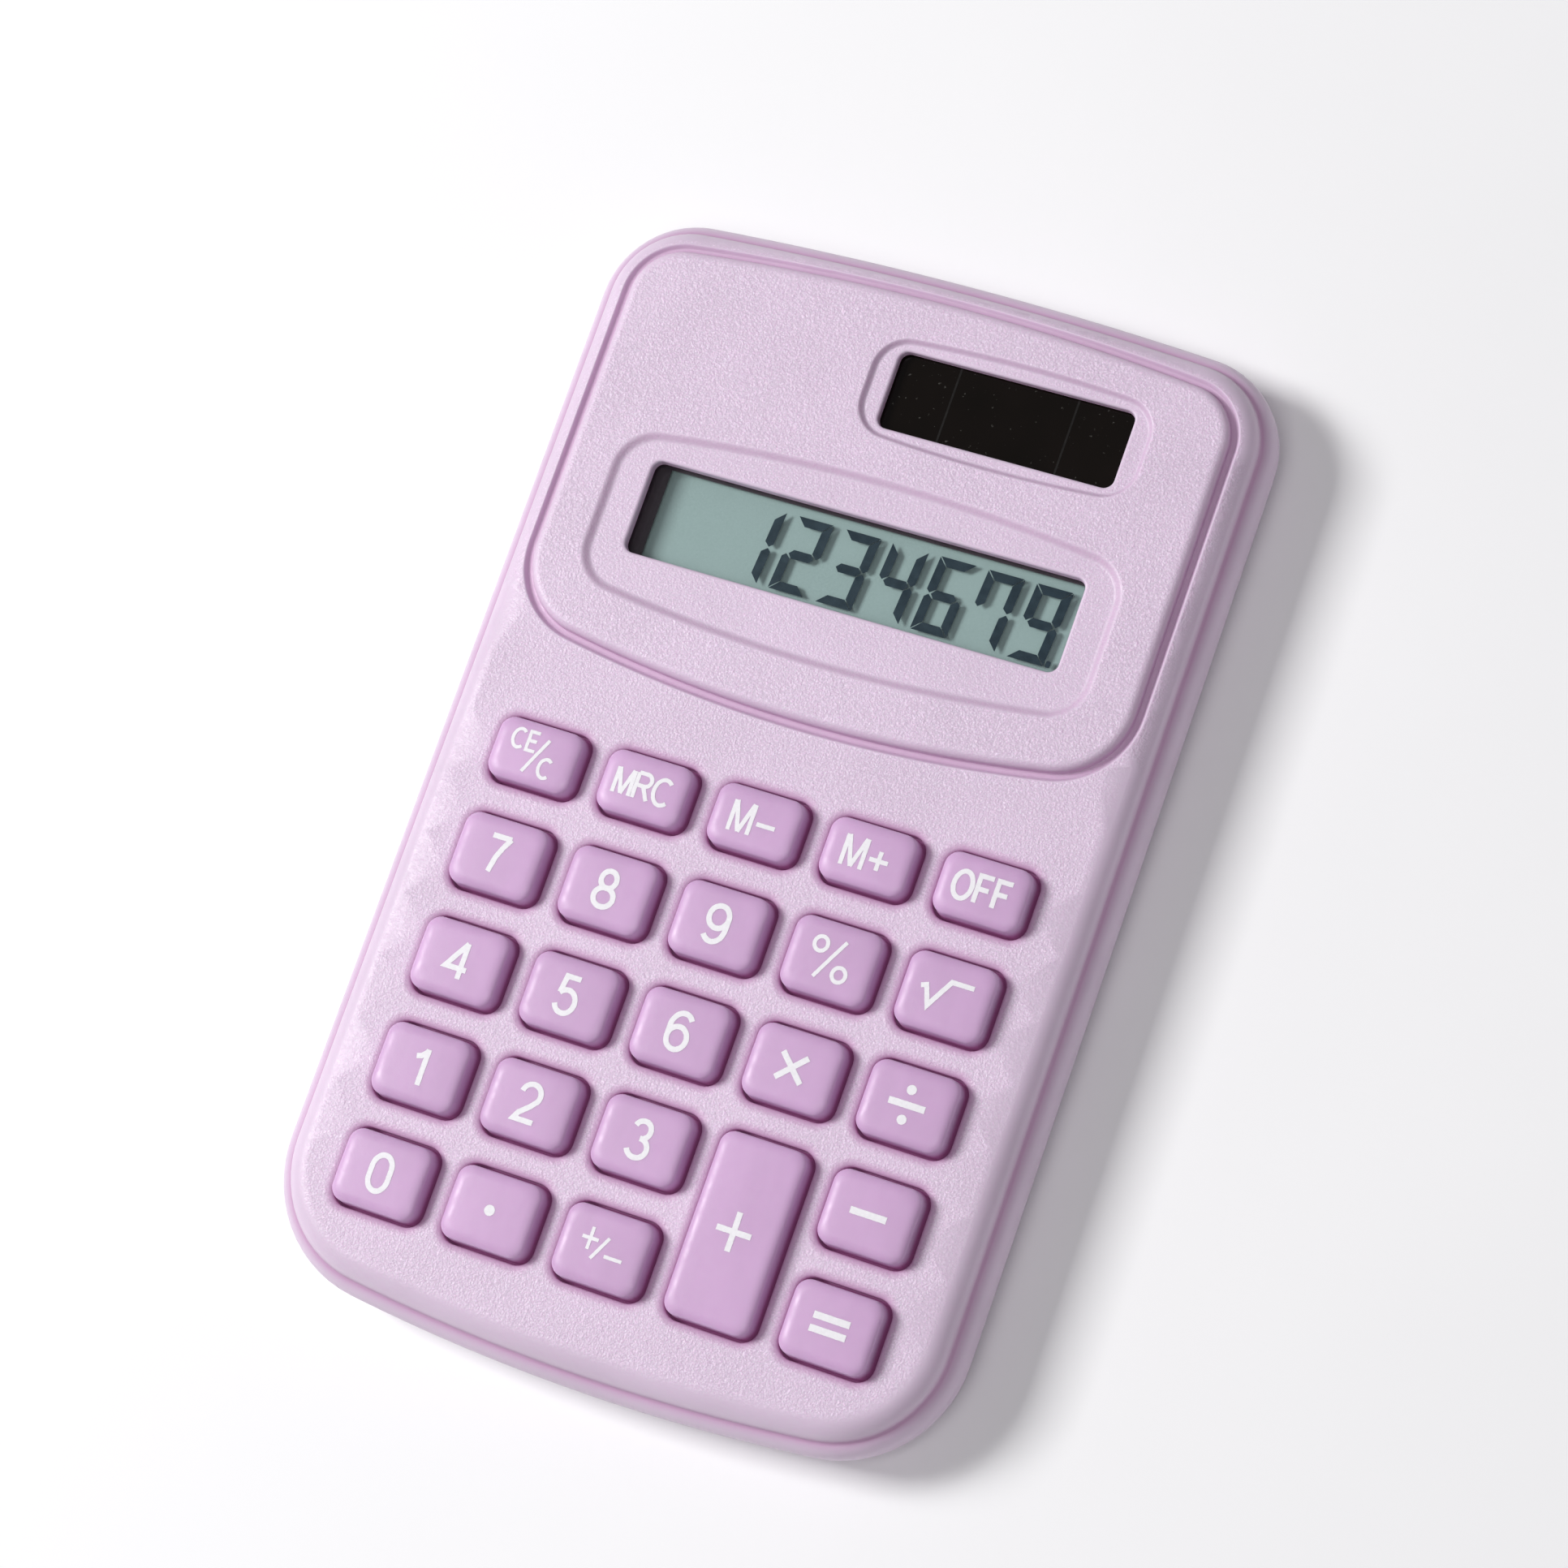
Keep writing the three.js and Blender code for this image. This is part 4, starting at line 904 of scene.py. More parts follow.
def finish(name):
    """The finish of that name, made the first time it is asked for."""
    if name not in FINISHES:
        look = bpy.context.scene.calculator_finish
        makers = {
            "shell": lambda: shell_plastic(look),
            "key": lambda: key_plastic(look),
            "legend": lambda: legend_ink(look),
            "cover": lambda: clear_cover("display_cover", (0.93, 0.96, 0.95), 0.06),
            "reflector": lambda: reflector(look),
            "segment": lambda: mottled("segment_dark", look.segment, 0.35, 0.8, 0.15, 0.001),
            "solar": solar_film,
            "floor": lambda: mottled("floor", (0.97, 0.97, 0.975), 0.8, 40, 0.01, 0.0, 2),
            "solar_line": lambda: mottled("solar_line", (0.010, 0.009, 0.008), 0.2, 0.5, 0.2),
            "board": board_laminate,
            "silicone": lambda: mottled("silicone", (0.62, 0.62, 0.58), 0.6, 5, 0.05, 0.008),
            "epoxy": lambda: mottled("black_epoxy", (0.008, 0.008, 0.008), 0.28, 2, 0.4, 0.02, 0.9),
            "black": lambda: mottled("black_plastic", (0.012, 0.012, 0.013), 0.45, 1, 0.3, 0.006),
            # Painted shadow: the dark sheet in the display window.
            "painted_shadow": lambda: mottled("painted_shadow", (0.052, 0.030, 0.044), 0.5, 1.5, 0.2, 0.004),
            "red": lambda: mottled("red_plastic", (0.35, 0.03, 0.02), 0.4, 1, 0.15, 0.005),
            "rubber": contact_rubber,
            "foam": lambda: mottled("foam", (0.02, 0.02, 0.023), 0.95, 0.4, 0.5, 0.15, 0.25),
            "cell": lambda: mottled("cell_steel", (0.60, 0.60, 0.58), 0.28, 1, 0.08, 0.002, 0.08, 1.0,
                                    stretch=(6, 1, 1)),
            "contact": lambda: mottled("contact_steel", (0.55, 0.54, 0.50), 0.32, 1, 0.1, 0.002, 0.08, 1.0,
                                       stretch=(1, 6, 1)),
            "screw": lambda: mottled("screw_steel", (0.42, 0.42, 0.43), 0.34, 0.6, 0.12, 0.004, 0.10, 1.0),
        }
        FINISHES[name] = makers[name]()
    return FINISHES[name]


# ---------------------------------------- places worked out from the frame


def levels(case):
    """Heights of the front shell's faces, from its box."""
    face = SHELL_HIGH.z - case.panel_proud
    return face, face - case.crown_rise, face - case.face_wall, SHELL_HIGH.z - case.bezel_depth


def crown_height(inset, case, face):
    """The crown's height: a quarter ellipse, as wide as the edge round and as high as the crown."""
    share = np.clip((case.ledge + case.edge_round - inset) / case.edge_round, 0, 1)
    return face - case.crown_rise * (1 - np.sqrt(1 - share * share))


def crown_grain(inset):
    """The grain fades out over the crown's round edge."""
    return np.clip((inset - 2.5 * MM) / (0.9 * MM), 0, 1)


def case_outline(case):
    return Outline(0, SHELL_HIGH.x, SHELL_HIGH.y, SHELL_LOW.y, case.bow_top, case.bow_bottom,
                   case.corner_top, case.corner_bottom)


def panel_outline(case):
    """The raised display panel, set in from the case's sides and top."""
    top = SHELL_HIGH.y - case.panel_top
    return Outline(0, SHELL_HIGH.x - case.panel_side, top, top - case.panel_length,
                   1.8 * MM, 3.0 * MM, 4.65 * MM, 6.8 * MM)


def display_window(display):
    """Middle and half sizes of the display's window, from the rear glass behind it."""
    low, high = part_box("display_rear_glass")
    middle, half = (low + high) / 2, (high - low) / 2
    return middle.x, middle.y, half.x - display.window_margin, half.y - display.window_margin


def solar_window(display):
    """Middle and half sizes of the solar cell's window, from the cell behind it."""
    low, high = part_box("solar_cell")
    middle, half = (low + high) / 2, (high - low) / 2
    return middle.x, middle.y, half.x - display.solar_margin, half.y - display.solar_margin


def recess_outlines(display):
    """The recess round each window, a little larger than it with bowed ends."""
    x, y, half_x, half_y = display_window(display)
    round_display = Outline(x, half_x + 3.35 * MM, y + half_y + 3.475 * MM, y - half_y - 5.175 * MM,
                            1.7 * MM, 1.8 * MM, 3.8 * MM, 3.8 * MM)
    x, y, half_x, half_y = solar_window(display)
    round_solar = Outline(x, half_x + 1.85 * MM, y + half_y + 1.275 * MM, y - half_y - 1.275 * MM,
                          0.6 * MM, 0.6 * MM, 3.0 * MM, 3.0 * MM)
    return round_display, round_solar


def key_shape(node, keys):
    """Middle and half sizes of a key at its rim, from its box less the flange."""
    low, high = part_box(node)
    middle, half = (low + high) / 2, (high - low) / 2
    return middle.x, middle.y, half.x - keys.flange, half.y - keys.flange


def side_steps_of(half_y):
    """Steps along a key's side: enough for a tall key to keep its curve."""
    return 8 if half_y < 5 * MM else 16


# ---------------------------------------- operators


class PieceOperator:
    """What every piece's operator shares."""

    bl_options = {"REGISTER", "UNDO"}


class CALCULATOR_OT_front_shell(PieceOperator, bpy.types.Operator):
    """Front shell: rings carried round each outline in it, joined by level faces"""

    bl_idname = "calculator.front_shell"
    bl_label = "Front shell"

    def execute(self, context):
        scene = context.scene
        case, keys, display = scene.calculator_case, scene.calculator_keys, scene.calculator_display
        face, crease, ceiling, recess = levels(case)
        skin = Skin()
        outside, inside = self.body(skin, case, face, crease, ceiling)
        openings = [self.key_opening(skin, node, case, keys, face, ceiling) for node in KEY_NODES]
        outer_groove, panel_edge = self.panel(skin, case, face)
        loose = self.crown_points(skin, case, face)
        skin.flat(outside, [outer_groove] + [top for top, _ in openings], loose=loose)
        windows = []
        recesses = []
        shapes = zip(recess_outlines(display), (display_window(display), solar_window(display)),
                     ("display_front_glass", "solar_cell"), (case.bezel_slope, case.solar_slope))
        for outline, window, glass, slope in shapes:
            rim, floor = self.recess(skin, outline, slope, recess)
            recesses.append(rim)
            hole, pocket = self.window(skin, window, glass, display, recess, ceiling)
            skin.flat(floor, [hole])
            windows.append(pocket)
        skin.flat(panel_edge, recesses)
        bosses = [self.boss(skin, screw, ceiling) for screw in CASE_SCREWS + BOARD_SCREWS]
        skin.flat(inside, windows + [low for _, low in openings] + bosses, up=False)
        shell = skin.build("front_shell_skin", finish("shell"))
        fitted(shell, body_of("front_shell"), "shell_plastic", "front_shell")
        return {"FINISHED"}

    def body(self, skin, case, face, crease, ceiling):
        """Cavity wall, rim with the groove for the back shell's tongue, skirt, crease and crown."""
        rim = SHELL_RIM
        cavity = case.ledge + case.wall
        inner = rows((cavity, ceiling), (cavity, rim), (1.9 * MM, rim), (1.9 * MM, rim + 0.9 * MM),
                     (0.8 * MM, rim + 0.9 * MM), (0.8 * MM, rim), (0.12 * MM, rim),
                     (0.03 * MM, rim + 0.04 * MM))
        skirt = quarter_ellipse(0, rim + 1.0 * MM, case.ledge, crease, 12)[:-2]
        # Painted shade in the crease between skirt and crown: the depth mark rises towards it.
        skirt[-4:, 3] = (0.05, 0.12, 0.25, 0.4)
        start = skirt[-1, :2]
        crown = quarter_ellipse(case.ledge, crease, case.ledge + case.edge_round, face, 22)[2:9]
        end = crown[0, :2]
        t = np.linspace(0, 1, 6)[1:-1, None]
        bottom = np.array([case.ledge, crease])
        fillet = start * (1 - t) ** 2 + bottom * 2 * t * (1 - t) + end * t**2
        fillet = marked(fillet[:, 0], fillet[:, 1], 0, 0.6)
        crown[:5, 3] = (0.4, 0.25, 0.15, 0.08, 0.03)
        edge = rows((0, rim + 0.12 * MM))
        outline = case_outline(case)
        inside, outside = skin.loft(lambda inset: bowed_outline(outline, inset),
                                    np.vstack([inner, edge, skirt, fillet, crown]))
        return outside, inside

    def crown_points(self, skin, case, face):
        """Points on the crown's upper edge, left out where the display panel's groove crosses it."""
        outline = case_outline(case)
        insets = quarter_ellipse(case.ledge, 0, case.ledge + case.edge_round, 1, 22)[9:, 0]
        keep_out = bowed_outline(panel_outline(case), -case.groove_width - 0.56 * MM)
        loose = []
        for inset in [*insets, insets[-1] + 0.15 * MM]:
            places = bowed_outline(outline, inset)
            places = places[~within(places, keep_out, np.roll(keep_out, -1, axis=0))]
            loose.append(skin.ring(places, crown_height(inset, case, face), crown_grain(inset)))
        return np.concatenate(loose)

    def panel(self, skin, case, face):
        """The groove round the display panel and the panel's rounded edge."""
        width, deep = case.groove_width, face - case.groove_depth
        outer = rows((-width - 0.42 * MM, face, 1), (-width - 0.32 * MM, face, 1))
        # Painted shade in the groove round the panel and up the panel's wall: the depth mark.
        down = s_curve(-width - 0.3 * MM, face, -width + 0.12 * MM, deep, 8, 0,
                       (0, 0, 0.05, 0.1, 0.18, 0.24, 0.3, 0.36, 0.4))
        up = rows((-0.12 * MM, deep, 0, 0.5), (-0.03 * MM, deep + 0.05 * MM, 0, 0.5),
                  (0, deep + 0.14 * MM, 0, 0.5))
        top = SHELL_HIGH.z
        wall = quarter_ellipse(0, top - 0.75 * MM, case.panel_round, top, 12, 0,
                               (0.5, 0.45, 0.4, 0.3, 0.25, 0.2, 0.15, 0.1, 0.05, 0, 0, 0, 0))
        wall[:, 2] = np.linspace(0, 1, len(wall)) ** 2
        last = rows((case.panel_round + 0.1 * MM, top, 1))
        outline = panel_outline(case)
        case_edge = bowed_outline(case_outline(case))
        rings = []
        for inset, z, grain, depth in np.vstack([outer, down, up, wall, last]):
            ring = bowed_outline(outline, inset, corner_steps=20)
            sunk = crown_height(distance_to(ring, case_edge), case, face) - face
            fade = np.clip((-width + 0.12 * MM - inset) / (0.42 * MM), 0, 1)
            rings.append(skin.ring(ring, z + sunk * fade, grain, depth))
        for first, second in zip(rings, rings[1:]):
            skin.band(first, second)
        return rings[0], rings[-1]

    def recess(self, skin, outline, slope_width, recess):
        """The soft step down to a recess."""
        start, end = -0.2 * MM, -0.2 * MM + slope_width
        first = rows((start - 0.1 * MM, SHELL_HIGH.z, 1))
        slope = s_curve(start, SHELL_HIGH.z, end, recess, 12, 0.35, 0)
        # Painted shade on the recess's sloping edge, strongest at its middle.
        slope[:, 3] = 0.25 * np.sin(np.linspace(0, math.pi, len(slope))) ** 2
        slope[0, 2] = 1
        last = rows((end + 0.06 * MM, recess, 0.8))
        return skin.loft(lambda inset: bowed_outline(outline, inset), np.vstack([first, slope, last]))

    def window(self, skin, window, glass, display, recess, ceiling):
        """A window's rounded edge and wall, and the pocket behind it that holds the glass."""
        x, y, half_x, half_y = window
        low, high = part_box(glass)
        nearest = "display_front_polariser" if glass == "display_front_glass" else glass
        pocket_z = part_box(nearest)[1].z + 0.3 * MM
        edge = rows((-0.3 * MM, recess, 0.8))
        rolled = quarter_ellipse(0, recess - 0.22 * MM, -0.24 * MM, recess, 6)[::-1]
        # Painted shade on the window's wall.
        wall = rows((0.02 * MM, pocket_z + 0.02 * MM, 0, 0.6), (0.04 * MM, pocket_z, 0, 0.8))
        corner = display.window_corner

        def shape(inset):
            return rounded_rectangle(x, y, half_x - inset, half_y - inset, corner - inset)

        first, last = skin.loft(shape, np.vstack([edge, rolled, wall]))
        gap = 0.3 * MM
        pocket = rectangle(low.x - gap, high.x + gap, low.y - gap, high.y + gap)
        top = skin.ring(pocket, pocket_z)
        mouth = skin.ring(pocket, ceiling)
        skin.band(top, mouth)
        skin.flat(top, [last], up=False)
        return first, mouth

    def key_opening(self, skin, node, case, keys, face, ceiling):
        """A key's opening with a dished edge: the fall follows a quarter ellipse."""
        x, y, half_x, half_y = key_shape(node, keys)
        grow = keys.clearance + keys.draft
        guard = rows((-case.lead_in - 0.1 * MM, face, 1))
        dish = quarter_ellipse(0, face - case.lead_depth, -case.lead_in, face, 9)[::-1]
        dish[:, 2] = (1, 0.9, 0.75, 0.55, 0.4, 0.25, 0.1, 0, 0, 0)
        # Painted shade: the dished edge darkens into the opening, and the opening's wall is fully darkened.
        dish[:, 3] = (0.1, 0.22, 0.32, 0.4, 0.46, 0.52, 0.6, 0.7, 0.85, 1)
        wall = rows((0, ceiling, 0, 1))
        corner = keys.corner + keys.clearance

        def shape(inset):
            return rounded_rectangle(x, y, half_x + grow - inset, half_y + grow - inset, corner - inset)

        return skin.loft(shape, np.vstack([guard, dish, wall]))

    def boss(self, skin, screw, ceiling):
        """A screw boss under the face, with a blind hole."""
        middle = centre(screw)
        tip = ceiling - 0.75 * MM
        end = (2.5 if screw in CASE_SCREWS else 3.6) * MM
        outer, hole = 1.8 * MM, 1.1 * MM
        profile = rows((hole, tip), (hole, end + 0.1 * MM), (hole + 0.1 * MM, end), (outer - 0.1 * MM, end),
                       (outer, end + 0.1 * MM), (outer, ceiling))
        first, last = skin.loft(lambda radius: circle(middle.x, middle.y, radius), profile)
        skin.flat(first, up=False)
        return last


class CALCULATOR_OT_keys(PieceOperator, bpy.types.Operator):
    """Keys: each top falls from its middle as a shallow dome and rolls over as a quarter ellipse"""

    bl_idname = "calculator.keys"
    bl_label = "Keys"

    def execute(self, context):
        keys = context.scene.calculator_keys
        for node in KEY_NODES:
            self.key(node, keys)
        return {"FINISHED"}

    def key(self, node, keys):
        low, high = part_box(node)
        x, y, half_x, half_y = key_shape(node, keys)
        steps = side_steps_of(half_y)
        flange_top = low.z + keys.flange_thick
        face = high.z - keys.proud

        def shape(inset):
            corner = keys.corner - inset * (0.45 if inset > 0 else 0.6)
            return rounded_rectangle(x, y, half_x - inset, half_y - inset, corner, side_steps=steps)

        skin = Skin()
        out = keys.flange
        # Painted shade: the depth mark darkens the key's wall inside its opening and fades out above the
        # face.
        base = rows((-out + 0.1 * MM, low.z), (-out, low.z + 0.1 * MM), (-out, flange_top - 0.1 * MM),
                    (-out + 0.1 * MM, flange_top), (-keys.draft - 0.15 * MM, flange_top, 0, 1),
                    (-keys.draft, flange_top + 0.15 * MM, 0, 1), (-keys.draft * 0.8, face - 0.3 * MM, 0, 1),
                    (-keys.draft * 0.5, face + 0.1 * MM, 0, 0.5),
                    (-keys.draft * 0.3, face + 0.5 * MM, 0, 0.2),
                    (-keys.draft * 0.1, face + 0.9 * MM, 0, 0.05))
        first, previous = skin.loft(shape, base)
        skin.flat(first, up=False)
        insets = keys.roll * (1 - np.cos(np.linspace(0, QUARTER, 11)))
        for inset in insets:
            rim = shape(inset)
            ring = skin.ring(rim, key_top(rim[:, 0], rim[:, 1], node, keys, inset))
            skin.band(previous, ring)
            previous = ring
        for share in np.linspace(1, 0, 8)[1:-1]:
            inner = [x, y] + (rim - [x, y]) * share
            ring = skin.ring(inner, key_top(inner[:, 0], inner[:, 1], node, keys))
            skin.band(previous, ring)
            previous = ring
        skin.fan(previous, (x, y, high.z))
        made = skin.build(node + "_cap", finish("key"))
        fitted(made, body_of(node), "key_plastic", node)


def key_top(x, y, node, keys, inset=None):
    """Height of a key's top: it falls with the squares of the shares of the half sizes, and rolls over.

    The roll is one less the root of 1 - s^2, where s falls from one at the rim to nought at its width.
    """
    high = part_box(node)[1]
    middle_x, middle_y, half_x, half_y = key_shape(node, keys)
    across, along = (x - middle_x) / half_x, (y - middle_y) / half_y
    if inset is None:
        corner = keys.corner
        over = np.stack([np.abs(x - middle_x) - half_x + corner, np.abs(y - middle_y) - half_y + corner])
        inset = corner - np.linalg.norm(np.maximum(over, 0), axis=0) - np.minimum(over.max(axis=0), 0)
    s = np.clip(1 - inset / keys.roll, 0, 1)
    fall = keys.crown * (across**2 + along**2) / 2 + keys.roll_drop * (1 - np.sqrt(1 - s * s))
    return high.z - fall


class CALCULATOR_OT_legends(PieceOperator, bpy.types.Operator):
    """Legends: strokes of one width, joined into a thin plate of ink that follows its key's top"""

    bl_idname = "calculator.legends"
    bl_label = "Legends"

    def execute(self, context):
        keys = context.scene.calculator_keys
        for node in KEY_NODES:
            x, y = centre(node)[:2]
            ribbons = [stroke + [x, y] for stroke in self.strokes(node.removeprefix("key_"))]
            made = plate(
                ribbons, node.replace("key", "legend"), finish("legend"),
                lambda px, py: key_top(px, py, node, keys) + keys.ink, keys.ink * 0.8, rough=0.012 * MM,
            )
            fitted(made, body_of(node), "legend_ink")
        return {"FINISHED"}

    def strokes(self, name):
        """Ribbons of one legend about the key's middle."""
        bar = line((-1.6 * MM, 0), (1.6 * MM, 0), pieces=24)
        post = bar[:, ::-1]
        heavy, plain, light = 0.58 * MM, 0.5 * MM, 0.30 * MM
        half = math.sqrt(0.5)
        drawn = {
            "ce_c": lambda: word("CE", 1.95 * MM, light, 0.22, -1.15 * MM, 0.95 * MM)
            + word("C", 1.95 * MM, light, 0, 1.35 * MM, -1.0 * MM)
            + [ribbon(line((-0.55 * MM, -1.75 * MM), (1.0 * MM, 1.45 * MM), pieces=24), light)],
            "mrc": lambda: word("MRC", 2.6 * MM, 0.36 * MM, 0.17),
            "m_minus": lambda: word("M-", 3.05 * MM, 0.38 * MM, 0.2),
            "m_plus": lambda: word("M+", 3.05 * MM, 0.38 * MM, 0.2),
            "off": lambda: word("OFF", 2.75 * MM, 0.42 * MM, 0.20),
            "percent": lambda: [
                ribbon(bend(-1.15 * MM, 1.05 * MM, 0.58 * MM, 0.62 * MM, 0, 360), light * 1.15),
                ribbon(bend(1.15 * MM, -1.05 * MM, 0.58 * MM, 0.62 * MM, 0, 360), light * 1.15),
                ribbon(line((-0.95 * MM, -1.75 * MM), (0.95 * MM, 1.75 * MM), pieces=24), light * 1.1),
            ],
            "root": lambda: [
                ribbon(line((-2.2 * MM, 0.25 * MM), (-1.75 * MM, 0.42 * MM), (-1.15 * MM, -1.2 * MM),
                            (0.25 * MM, 1.2 * MM), (2.2 * MM, 1.2 * MM), pieces=14), 0.42 * MM)
            ],
            "multiply": lambda: [ribbon(bar @ [[half, half], [-half, half]], plain),
                                 ribbon(bar @ [[half, -half], [half, half]], plain)],
            "divide": lambda: [ribbon(bar, heavy), disc(0, 1.28 * MM, 0.42 * MM),
                               disc(0, -1.28 * MM, 0.42 * MM)],
            "minus": lambda: [ribbon(bar, heavy)],
            "plus": lambda: [ribbon(bar * 0.96, plain), ribbon(post * 1.05, plain)],
            "equals": lambda: [ribbon(bar + [0, 0.56 * MM], heavy), ribbon(bar - [0, 0.56 * MM], heavy)],
            "point": lambda: [disc(0, 0, 0.47 * MM)],
            "sign": lambda: [
                ribbon(bar * 0.46 + [-1.15 * MM, 0.55 * MM], light),
                ribbon(post * 0.60 + [-1.15 * MM, 0.55 * MM], light),
                ribbon(line((-0.62 * MM, -1.05 * MM), (0.45 * MM, 1.0 * MM), pieces=18), light),
                ribbon(bar * 0.50 + [1.25 * MM, -0.55 * MM], light),
            ],
        }
        if name in drawn:
            return drawn[name]()
        return word(name, 3.6 * MM, 0.47 * MM)


class CALCULATOR_OT_back_shell(PieceOperator, bpy.types.Operator):
    """Back shell: rings round the case for its round edge and tongue, with its fittings joined and cut"""

    bl_idname = "calculator.back_shell"
    bl_label = "Back shell"

    def execute(self, context):
        case = context.scene.calculator_case
        skin = Skin()
        back_solid(skin, case, hollow=True)
        shell = skin.build("back_shell_skin", finish("shell"))
        bay = centre("battery_cell")
        pad, wall = self.bay_shapes(case, bay)
        self.change(shell, "UNION", [pad, *self.ribs(case)])
        self.change(shell, "UNION", self.posts(case))
        self.change(shell, "UNION", [wall])
        hole, notch = self.bay_openings(case, bay)
        self.change(shell, "DIFFERENCE", [hole, *self.screw_holes()])
        self.change(shell, "DIFFERENCE", [notch])
        door_solid("door_channel", 0.2 * MM)
        carved(shell, "door_channel", "DIFFERENCE", finish("shell"))
        graded(shell)
        fitted(shell, body_of("back_shell"), "shell_plastic", "back_shell")
        return {"FINISHED"}

    def change(self, shell, operation, skins):
        """Joins or cuts with shapes that don't meet each other."""
        merged(skins).build("shapes", finish("shell"))
        carved(shell, "shapes", operation, finish("shell"))

    def bay_shapes(self, case, bay):
        """The raised pad over the door's rails and the ring round the cell."""
        door_low, door_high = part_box("battery_door")
        pad_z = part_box("battery_cell")[0].z + 0.5 * MM
        around = 1.2 * MM
        end = BACK_HIGH.y - 2.35 * MM
        pad = rectangle(door_low.x - around, door_high.x + around, door_low.y - around, end)
        wall = circle(bay.x, bay.y, self.bay_radius() + 1.0 * MM, 64)
        base = case.floor - 0.4 * MM
        return prism(pad, base, pad_z), prism(wall, base + 0.1 * MM, BACK_HIGH.z, 0.1 * MM)

    def bay_radius(self):
        low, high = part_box("battery_cell")
        return (high.x - low.x) / 2 + 0.4 * MM

    def posts(self, case):
        post_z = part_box("circuit_board")[0].z - 0.3 * MM
        return [prism(circle(*centre(screw)[:2], 2.4 * MM, 40), case.floor - 0.4 * MM, post_z, 0.12 * MM)
                for screw in CASE_SCREWS]

    def ribs(self, case):
        board_low, board_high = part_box("circuit_board")
        mat_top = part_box("keypad_mat")[1].y
        made = []
        for share in (0.12, 0.5, 0.88):
            y = board_low.y + share * (mat_top - board_low.y)
            rib = rectangle(board_low.x + 2 * MM, board_high.x - 2 * MM, y - 0.5 * MM, y + 0.5 * MM)
            made.append(prism(rib, case.floor - 0.3 * MM, board_low.z - 0.3 * MM, 0.1 * MM))
        return made

    def bay_openings(self, case, bay):
        """The cell's hole and the notch for its contacts."""
        wall_radius = self.bay_radius() + 1.0 * MM
        pad_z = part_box("battery_cell")[0].z + 0.5 * MM
        top = BACK_HIGH.z + 1 * MM
        notch = rectangle(bay.x - 4.6 * MM, bay.x + 4.6 * MM, bay.y - wall_radius - 1 * MM, bay.y - 4 * MM)
        hole = circle(bay.x, bay.y, self.bay_radius(), 64)
        return prism(hole, case.floor - 1 * MM, top), prism(notch, pad_z, top)

    def screw_holes(self):
        """A stepped hole for each case screw, with a slightly flared mouth."""
        made = []
        for screw in CASE_SCREWS:
            low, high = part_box(screw)
            x, y = centre(screw)[:2]
            head, shank = (high.x - low.x) / 2 + 0.3 * MM, 1.1 * MM
            profile = rows((head + 1.2 * MM, -1 * MM), (head + 0.2 * MM, 0), (head, 0.2 * MM),
                           (head, 1.4 * MM), (shank, 1.4 * MM), (shank, 3 * MM))
            hole = Skin()
            first, last = hole.loft(lambda radius: circle(x, y, radius, 40), profile)
            hole.flat(first, up=False)
            hole.flat(last)
            made.append(hole)
        return made


def back_solid(skin, case, hollow):
    """The back shell's outside, closed by its tongue and floor or by a level top."""
    rim = SHELL_RIM - case.seam
    outline = case_outline(case)
    inset = case.seam
    curve = quarter_ellipse(inset + 0.35 * MM, 2.1 * MM, case.back_round, 0, 14)[::-1]
    # Painted shade: the depth mark darkens the edge at the seam and the inside of the tongue.
    outside = np.vstack([rows((case.back_round + 0.1 * MM, 0)), curve,
                         rows((inset, rim - 0.1 * MM, 0, 0.3), (inset + 0.1 * MM, rim, 0, 0.8))])
    if hollow:
        tongue = rim + 0.675 * MM
        inside = rows((1.1 * MM, rim, 0, 1), (1.1 * MM, tongue - 0.1 * MM), (1.2 * MM, tongue),
                      (1.5 * MM, tongue), (1.6 * MM, tongue - 0.1 * MM), (1.6 * MM, rim),
                      (1.9 * MM, rim), (2.2 * MM, case.floor + 1 * MM), (2.5 * MM, case.floor + 0.3 * MM),
                      (3.2 * MM, case.floor), (3.3 * MM, case.floor))
        outside = np.vstack([outside, inside])
    first, last = skin.loft(lambda row_inset: bowed_outline(outline, row_inset), outside)
    skin.flat(first, up=False)
    skin.flat(last)


def door_solid(name, grow):
    """The door's plate on its two rails, a little larger by the growth, running out past the case's end."""
    low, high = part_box("battery_door")
    rail, lip = 0.7 * MM, 0.6 * MM
    narrow, wide, top = rail - grow, -grow, high.z + grow
    step = lip + 0.2 * MM - grow
    section = [(low.x + narrow, -1 * MM), (high.x - narrow, -1 * MM), (high.x - narrow, step),
               (high.x - wide, step), (high.x - wide, top), (low.x + wide, top), (low.x + wide, step),
               (low.x + narrow, step)]
    near, far = low.y - grow, BACK_HIGH.y + 3 * MM
    count = len(section)
    points = [(x, y, z) for y in (near, far) for x, z in section]
    sides = [(i, (i + 1) % count, count + (i + 1) % count, count + i) for i in range(count)]
    data = bpy.data.meshes.new(name)
    data.from_pydata(points, [], [tuple(range(count)), tuple(reversed(range(count, 2 * count)))]
                     + [tuple(reversed(face)) for face in sides])
    return finished(name, data, finish("shell"), 30)


def graded(piece):
    """Marks the grain on the level back and takes it off the round edge."""
    data = piece.data
    places = np.empty(len(data.vertices) * 3)
    data.vertices.foreach_get("co", places)
    z = places.reshape(-1, 3)[:, 2]
    attribute = data.attributes.get("grain") or data.attributes.new("grain", "FLOAT", "POINT")
    attribute.data.foreach_set("value", np.where(z < 0.02 * MM, 1, 0).astype(np.float32))
    data.polygons.foreach_set("use_smooth", np.ones(len(data.polygons), bool))
    data.set_sharp_from_angle(angle=math.radians(35))
    data.update()


